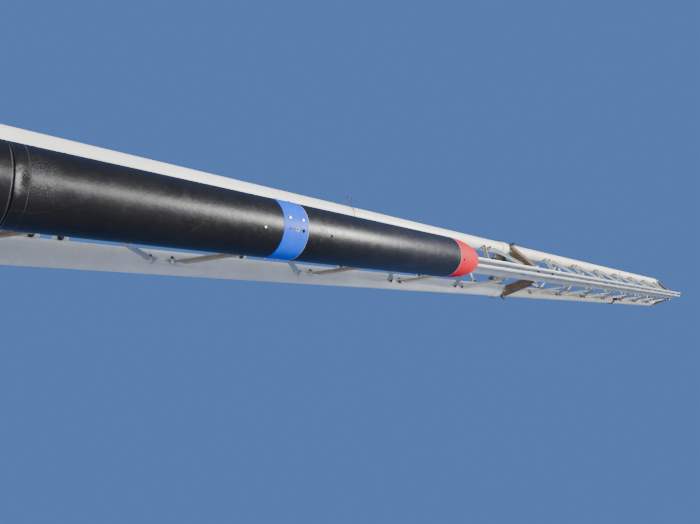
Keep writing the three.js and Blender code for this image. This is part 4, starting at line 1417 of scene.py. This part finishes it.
class LAUNCH_OT_base(LaunchOperator, bpy.types.Operator):
    """Builds the base's box beams with end plugs, welds and bolts"""

    bl_idname = "launch.base"
    bl_label = "Base frame"

    def execute(self, context):
        names = ("cross_beam_front", "cross_beam_rear", "side_beam_left", "side_beam_right", "hinge_beam",
                 "stop_beam")
        for name in names:
            low, high = (Vector(corner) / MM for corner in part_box(name))
            bm = bmesh.new()
            block(bm, low, high, edge=6.0, segments=4)
            piece("box_" + name, bm, ["base_steel"], "base", [name])
        bm = bmesh.new()
        # Height of a plug's or rib's foot and top, how proud it stands, half its width and its rounding.
        plug = (BEAM_BOTTOM + 2, BEAM_TOP - 2, 2.6, 38, 1.0)
        ribs = [(z, z + 3, 3.6, 26, 0.6) for z in (58, 72, 86, 100)]
        for y in (-CROSS_Y, CROSS_Y):
            for _, sign in SIDES:
                for low, high, proud, half, edge in (plug, *ribs):
                    ends = sorted((sign * BASE_X, sign * (BASE_X + proud)))
                    block(bm, (ends[0], y - half, low), (ends[1], y + half, high), edge)
        piece("end_plugs", bm, ["black_plastic"], "base")
        size = bead_size(context)
        bm = bmesh.new()
        weld_low, weld_high, weld_top = BEAM_BOTTOM + 6, BEAM_TOP - 6, BEAM_TOP - 0.5
        end = CROSS_Y - 40
        for _, sign in SIDES:
            for along in (-1, 1):
                y = along * (end - 0.5)
                for x in (130.0, 210.0):
                    weld(bm, [(sign * x, y, weld_low), (sign * x, y, weld_high)], size)
                weld(bm, [(sign * 136, y, weld_top), (sign * 204, y, weld_top)], size)
            for low, high in ((HINGE_Y - 40, HINGE_Y + 40), (-60, 20)):
                x = sign * 129.8
                for y in (low, high):
                    weld(bm, [(x, y, weld_low), (x, y, weld_high)], size)
                weld(bm, [(x, low + 6, weld_top), (x, high - 6, weld_top)], size)
        piece("frame_welds", bm, ["base_steel"], "base", sharp=SHARP_ROUND)
        bm = bmesh.new()
        block(bm, (-50, -42, BEAM_TOP + GAP), (50, 8, 167.4), edge=2.0)
        piece("stop_body", bm, ["base_steel"], "base", ["stop_block"])
        bm = bmesh.new()
        block(bm, (-48, -40, 167.5), (48, 6, 171.6), edge=1.2)
        dip = (math.pi * k / 12 for k in range(1, 12))
        outline = [(-30, 181.2), (30, 181.2), (30, 192.0), (27.5, 193.0)]
        outline += [(27.5 * math.cos(a), 193.0 - 6.0 * math.sin(a)) for a in dip]
        outline += [(-27.5, 193.0), (-30, 192.0)]
        for _, sign in SIDES:
            matrix = Matrix(((1, 0, 0, sign * TUBE_X), (0, 0, 1, CROSS_Y), (0, 1, 0, 0), (0, 0, 0, 1)))
            prism(bm, outline, -29.0, 29.0, matrix)
        piece("rubber_pads", bm, ["rubber"], "base")
        for side, sign in SIDES:
            bm = bmesh.new()
            low = (sign * TUBE_X - 30, CROSS_Y - 30, BEAM_TOP + GAP)
            block(bm, low, (sign * TUBE_X + 30, CROSS_Y + 30, 181.0), edge=2.5)
            piece("rest_" + side, bm, ["base_steel"], "base", ["mast_rest_" + side])
        dress("scorched_plate", "bare_metal", "blast_plate")
        # Place along the plate, height, and slope of the plate there.
        holes = ((-322, 52, 0), (-120, 98.5, -0.28), (-260, 63, -0.28), (-76, 114, 0))
        spots = [((sign * 117, y, z), (0, slope, 1), 1.1) for _, sign in SIDES for y, z, slope in holes]
        fasteners("plate_bolts", spots, HEX_BOLT, "zinc_bolt", "base")
        return {"FINISHED"}


class LAUNCH_OT_feet(LaunchOperator, bpy.types.Operator):
    """Turns the levelling feet with threaded studs and nuts"""

    bl_idname = "launch.feet"
    bl_label = "Levelling feet"

    def execute(self, context):
        lower = self.thread(12.6, 19.0, 1.4, 15)
        upper = self.thread(11.0, BEAM_TOP + 1.0, 1.6, 24)
        nut = [(20.0 * math.cos(math.pi * k / 3), 20.0 * math.sin(math.pi * k / 3)) for k in range(6)]
        for end, along in (("front", -1), ("rear", 1)):
            for side, sign in SIDES:
                x, y = sign * FOOT_X, along * CROSS_Y
                bm = bmesh.new()
                pad = [(0, 0), (57, 0), (60, 2.4), (60, 9), (57.6, 11), (26, 16.4), (21, 19.5), (16, 19.5),
                       (16, 18)]
                lathe(bm, pad + lower + [(12.6, 39.7), (0, 39.7)], (x, y), steps=64)
                top = [(0, BEAM_TOP + GAP), (11.0, BEAM_TOP + GAP)] + upper + [(10, 160.5), (0, 160.5)]
                lathe(bm, top, (x, y), steps=48)
                turned = [(x + u, y + v) for u, v in nut]
                prism(bm, rounded(turned, [1.0] * 6, 2), 24.0, 36.0)
                prism(bm, rounded(turned, [1.0] * 6, 2), BEAM_TOP + 2.8, BEAM_TOP + 15.0)
                washer = [(0, BEAM_TOP), (26, BEAM_TOP), (26, BEAM_TOP + 2.6), (0, BEAM_TOP + 2.6)]
                lathe(bm, washer, (x, y), steps=48)
                piece(f"foot_{end}_{side}", bm, ["bare_metal"], "base",
                      [f"levelling_foot_{end}_{side}"], sharp=28.0)
        return {"FINISHED"}

    @staticmethod
    def thread(root, start, pitch, turns):
        """The profile of a threaded rod, one crest for each turn."""
        profile = []
        for i in range(turns):
            z = start + i * pitch
            profile += [(root, z), (root + 1.4, z + pitch / 2)]
        return profile


class LAUNCH_OT_hinge(LaunchOperator, bpy.types.Operator):
    """Turns the hinge pins with their split pins, and finishes the clevises"""

    bl_idname = "launch.hinge"
    bl_label = "Hinge"

    def execute(self, context):
        dress("base_steel", "base_steel", "hinge_clevis_left", "hinge_clevis_right")
        size = bead_size(context)
        welds = bmesh.new()
        for side, sign in SIDES:
            low, high = (Vector(corner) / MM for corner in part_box("hinge_pin_" + side))
            half = (high.x - low.x) / 2
            matrix = facing(((low.x + high.x) / 2, HINGE_Y, HINGE_Z), (sign, 0, 0))
            bm = bmesh.new()
            lathe(bm, [(0, -half), (8.6, -half), (10, -half + 1.4), (10, half - 5), (15.2, half - 5),
                       (16, half - 4.2), (16, half - 1.0), (15, half), (0, half)], steps=48, matrix=matrix)
            split = -half + 3
            turns = (2 * math.pi * k / 12 for k in range(12))
            eye = [matrix @ Vector((0, 11 + 3.2 * math.sin(a), split + 3.2 * math.cos(a))) for a in turns]
            wire(bm, eye, [WIRE_R] * len(eye), loop=True)
            wire(bm, [matrix @ Vector((0, y, split)) for y in (-15, 8)], [WIRE_R, WIRE_R])
            piece("pin_" + side, bm, ["bare_metal"], "base", ["hinge_pin_" + side])
            for edge in (-21, -11, 11, 21):
                x = sign * EAR_X + edge
                weld(welds, [(x, HINGE_Y - 32, 128.4), (x, HINGE_Y + 32, 128.4)], size * 0.8)
            x = sign * EAR_X
            for y in (HINGE_Y - 38, HINGE_Y + 38):
                weld(welds, [(x - 25, y, BEAM_TOP + 0.8), (x + 25, y, BEAM_TOP + 0.8)], size)
        piece("clevis_welds", welds, ["base_steel"], "base", sharp=SHARP_ROUND)
        return {"FINISHED"}


class LAUNCH_OT_stage(LaunchOperator, bpy.types.Operator):
    """Sets the floor, the soft lights and the camera of the photograph"""

    bl_idname = "launch.stage"
    bl_label = "Stage"

    def execute(self, context):
        scene = context.scene
        bm = bmesh.new()
        bmesh.ops.create_grid(bm, x_segments=1, y_segments=1, size=90.0)
        mesh = bpy.data.meshes.new("floor")
        bm.to_mesh(mesh)
        bm.free()
        made = Finish("Pale floor", (0.42, 0.42, 0.41), 0.8)
        made.coat("Blotches", (0.37, 0.37, 0.36), 0.85, scale=1.2, low=0.4, high=0.7, strength=0.4)
        mesh.materials.append(made.done())
        floor = bpy.data.objects.new("floor", mesh)
        floor.location.z = -0.0006
        scene.collection.objects.link(floor)

        world = bpy.data.worlds.new("Soft sky")
        world.use_nodes = True
        back = world.node_tree.nodes["Background"]
        back.inputs["Color"].default_value = (0.11, 0.235, 0.62, 1.0)
        back.inputs["Strength"].default_value = 0.82
        scene.world = world

        sun = bpy.data.lights.new("key", "SUN")
        sun.energy = 5.3
        sun.angle = math.radians(1)
        sun.color = (1.0, 0.965, 0.91)
        self.aim(scene, sun, (-5.2, -8.6, 12.0), (0, 0, 0))
        strip = bpy.data.lights.new("strip", "AREA")
        strip.shape = "RECTANGLE"
        strip.size, strip.size_y = 2.4, 11.0
        strip.energy = 2350.0
        self.aim(scene, strip, (-4.4, -7.3, 6.8), (0, 0, 1.4))

        camera = bpy.data.cameras.new("camera")
        camera.lens = 27.0
        camera.sensor_width = 36.0
        camera.clip_start, camera.clip_end = 0.02, 200.0
        cam = bpy.data.objects.new("camera", camera)
        scene.collection.objects.link(cam)
        turn = Matrix.Rotation(CAMERA_TURN, 3, "Z")
        base = Matrix(((0, -1, 0), (1, 0, 0), (0, 0, 1)))
        ways = (CAMERA_RIGHT, CAMERA_DOWN, CAMERA_FORWARD)
        right, down, ahead = (turn @ (base @ Vector(way)) for way in ways)
        matrix = Matrix((right, -down, -ahead)).transposed().to_4x4()
        matrix.translation = Vector(CAMERA_PLACE)
        cam.matrix_world = matrix
        scene.camera = cam
        return {"FINISHED"}

    @staticmethod
    def aim(scene, light, place, target):
        lamp = bpy.data.objects.new(light.name, light)
        lamp.location = place
        way = Vector(target) - Vector(place)
        lamp.rotation_euler = way.to_track_quat("-Z", "Y").to_euler()
        scene.collection.objects.link(lamp)


class LAUNCH_PT_panel(bpy.types.Panel):
    """Lists the steps that dress the launch mast"""

    bl_idname = "LAUNCH_PT_panel"
    bl_label = "Launch Mast"
    bl_space_type = "VIEW_3D"
    bl_region_type = "UI"
    bl_category = "Launch Mast"

    def draw(self, context):
        layout = self.layout
        for group in (context.scene.launch_sizes, context.scene.launch_colours):
            for label in group.__annotations__:
                layout.prop(group, label)
        for step in STEPS:
            layout.operator(step.bl_idname)


STEPS = (
    LAUNCH_OT_stage, LAUNCH_OT_body, LAUNCH_OT_band, LAUNCH_OT_nose, LAUNCH_OT_fittings, LAUNCH_OT_fins,
    LAUNCH_OT_rail, LAUNCH_OT_tubes, LAUNCH_OT_lacing, LAUNCH_OT_braces, LAUNCH_OT_foot, LAUNCH_OT_base,
    LAUNCH_OT_feet, LAUNCH_OT_hinge,
)
CLASSES = (LaunchSizes, LaunchColours, *STEPS, LAUNCH_PT_panel)


def register():
    for cls in CLASSES:
        bpy.utils.register_class(cls)
    bpy.types.Scene.launch_sizes = bpy.props.PointerProperty(type=LaunchSizes)
    bpy.types.Scene.launch_colours = bpy.props.PointerProperty(type=LaunchColours)


def unregister():
    del bpy.types.Scene.launch_colours
    del bpy.types.Scene.launch_sizes
    for cls in reversed(CLASSES):
        bpy.utils.unregister_class(cls)


def main():
    register()
    for step in STEPS:
        group, name = step.bl_idname.split(".")
        getattr(getattr(bpy.ops, group), name)()


if __name__ == "__main__":
    main()
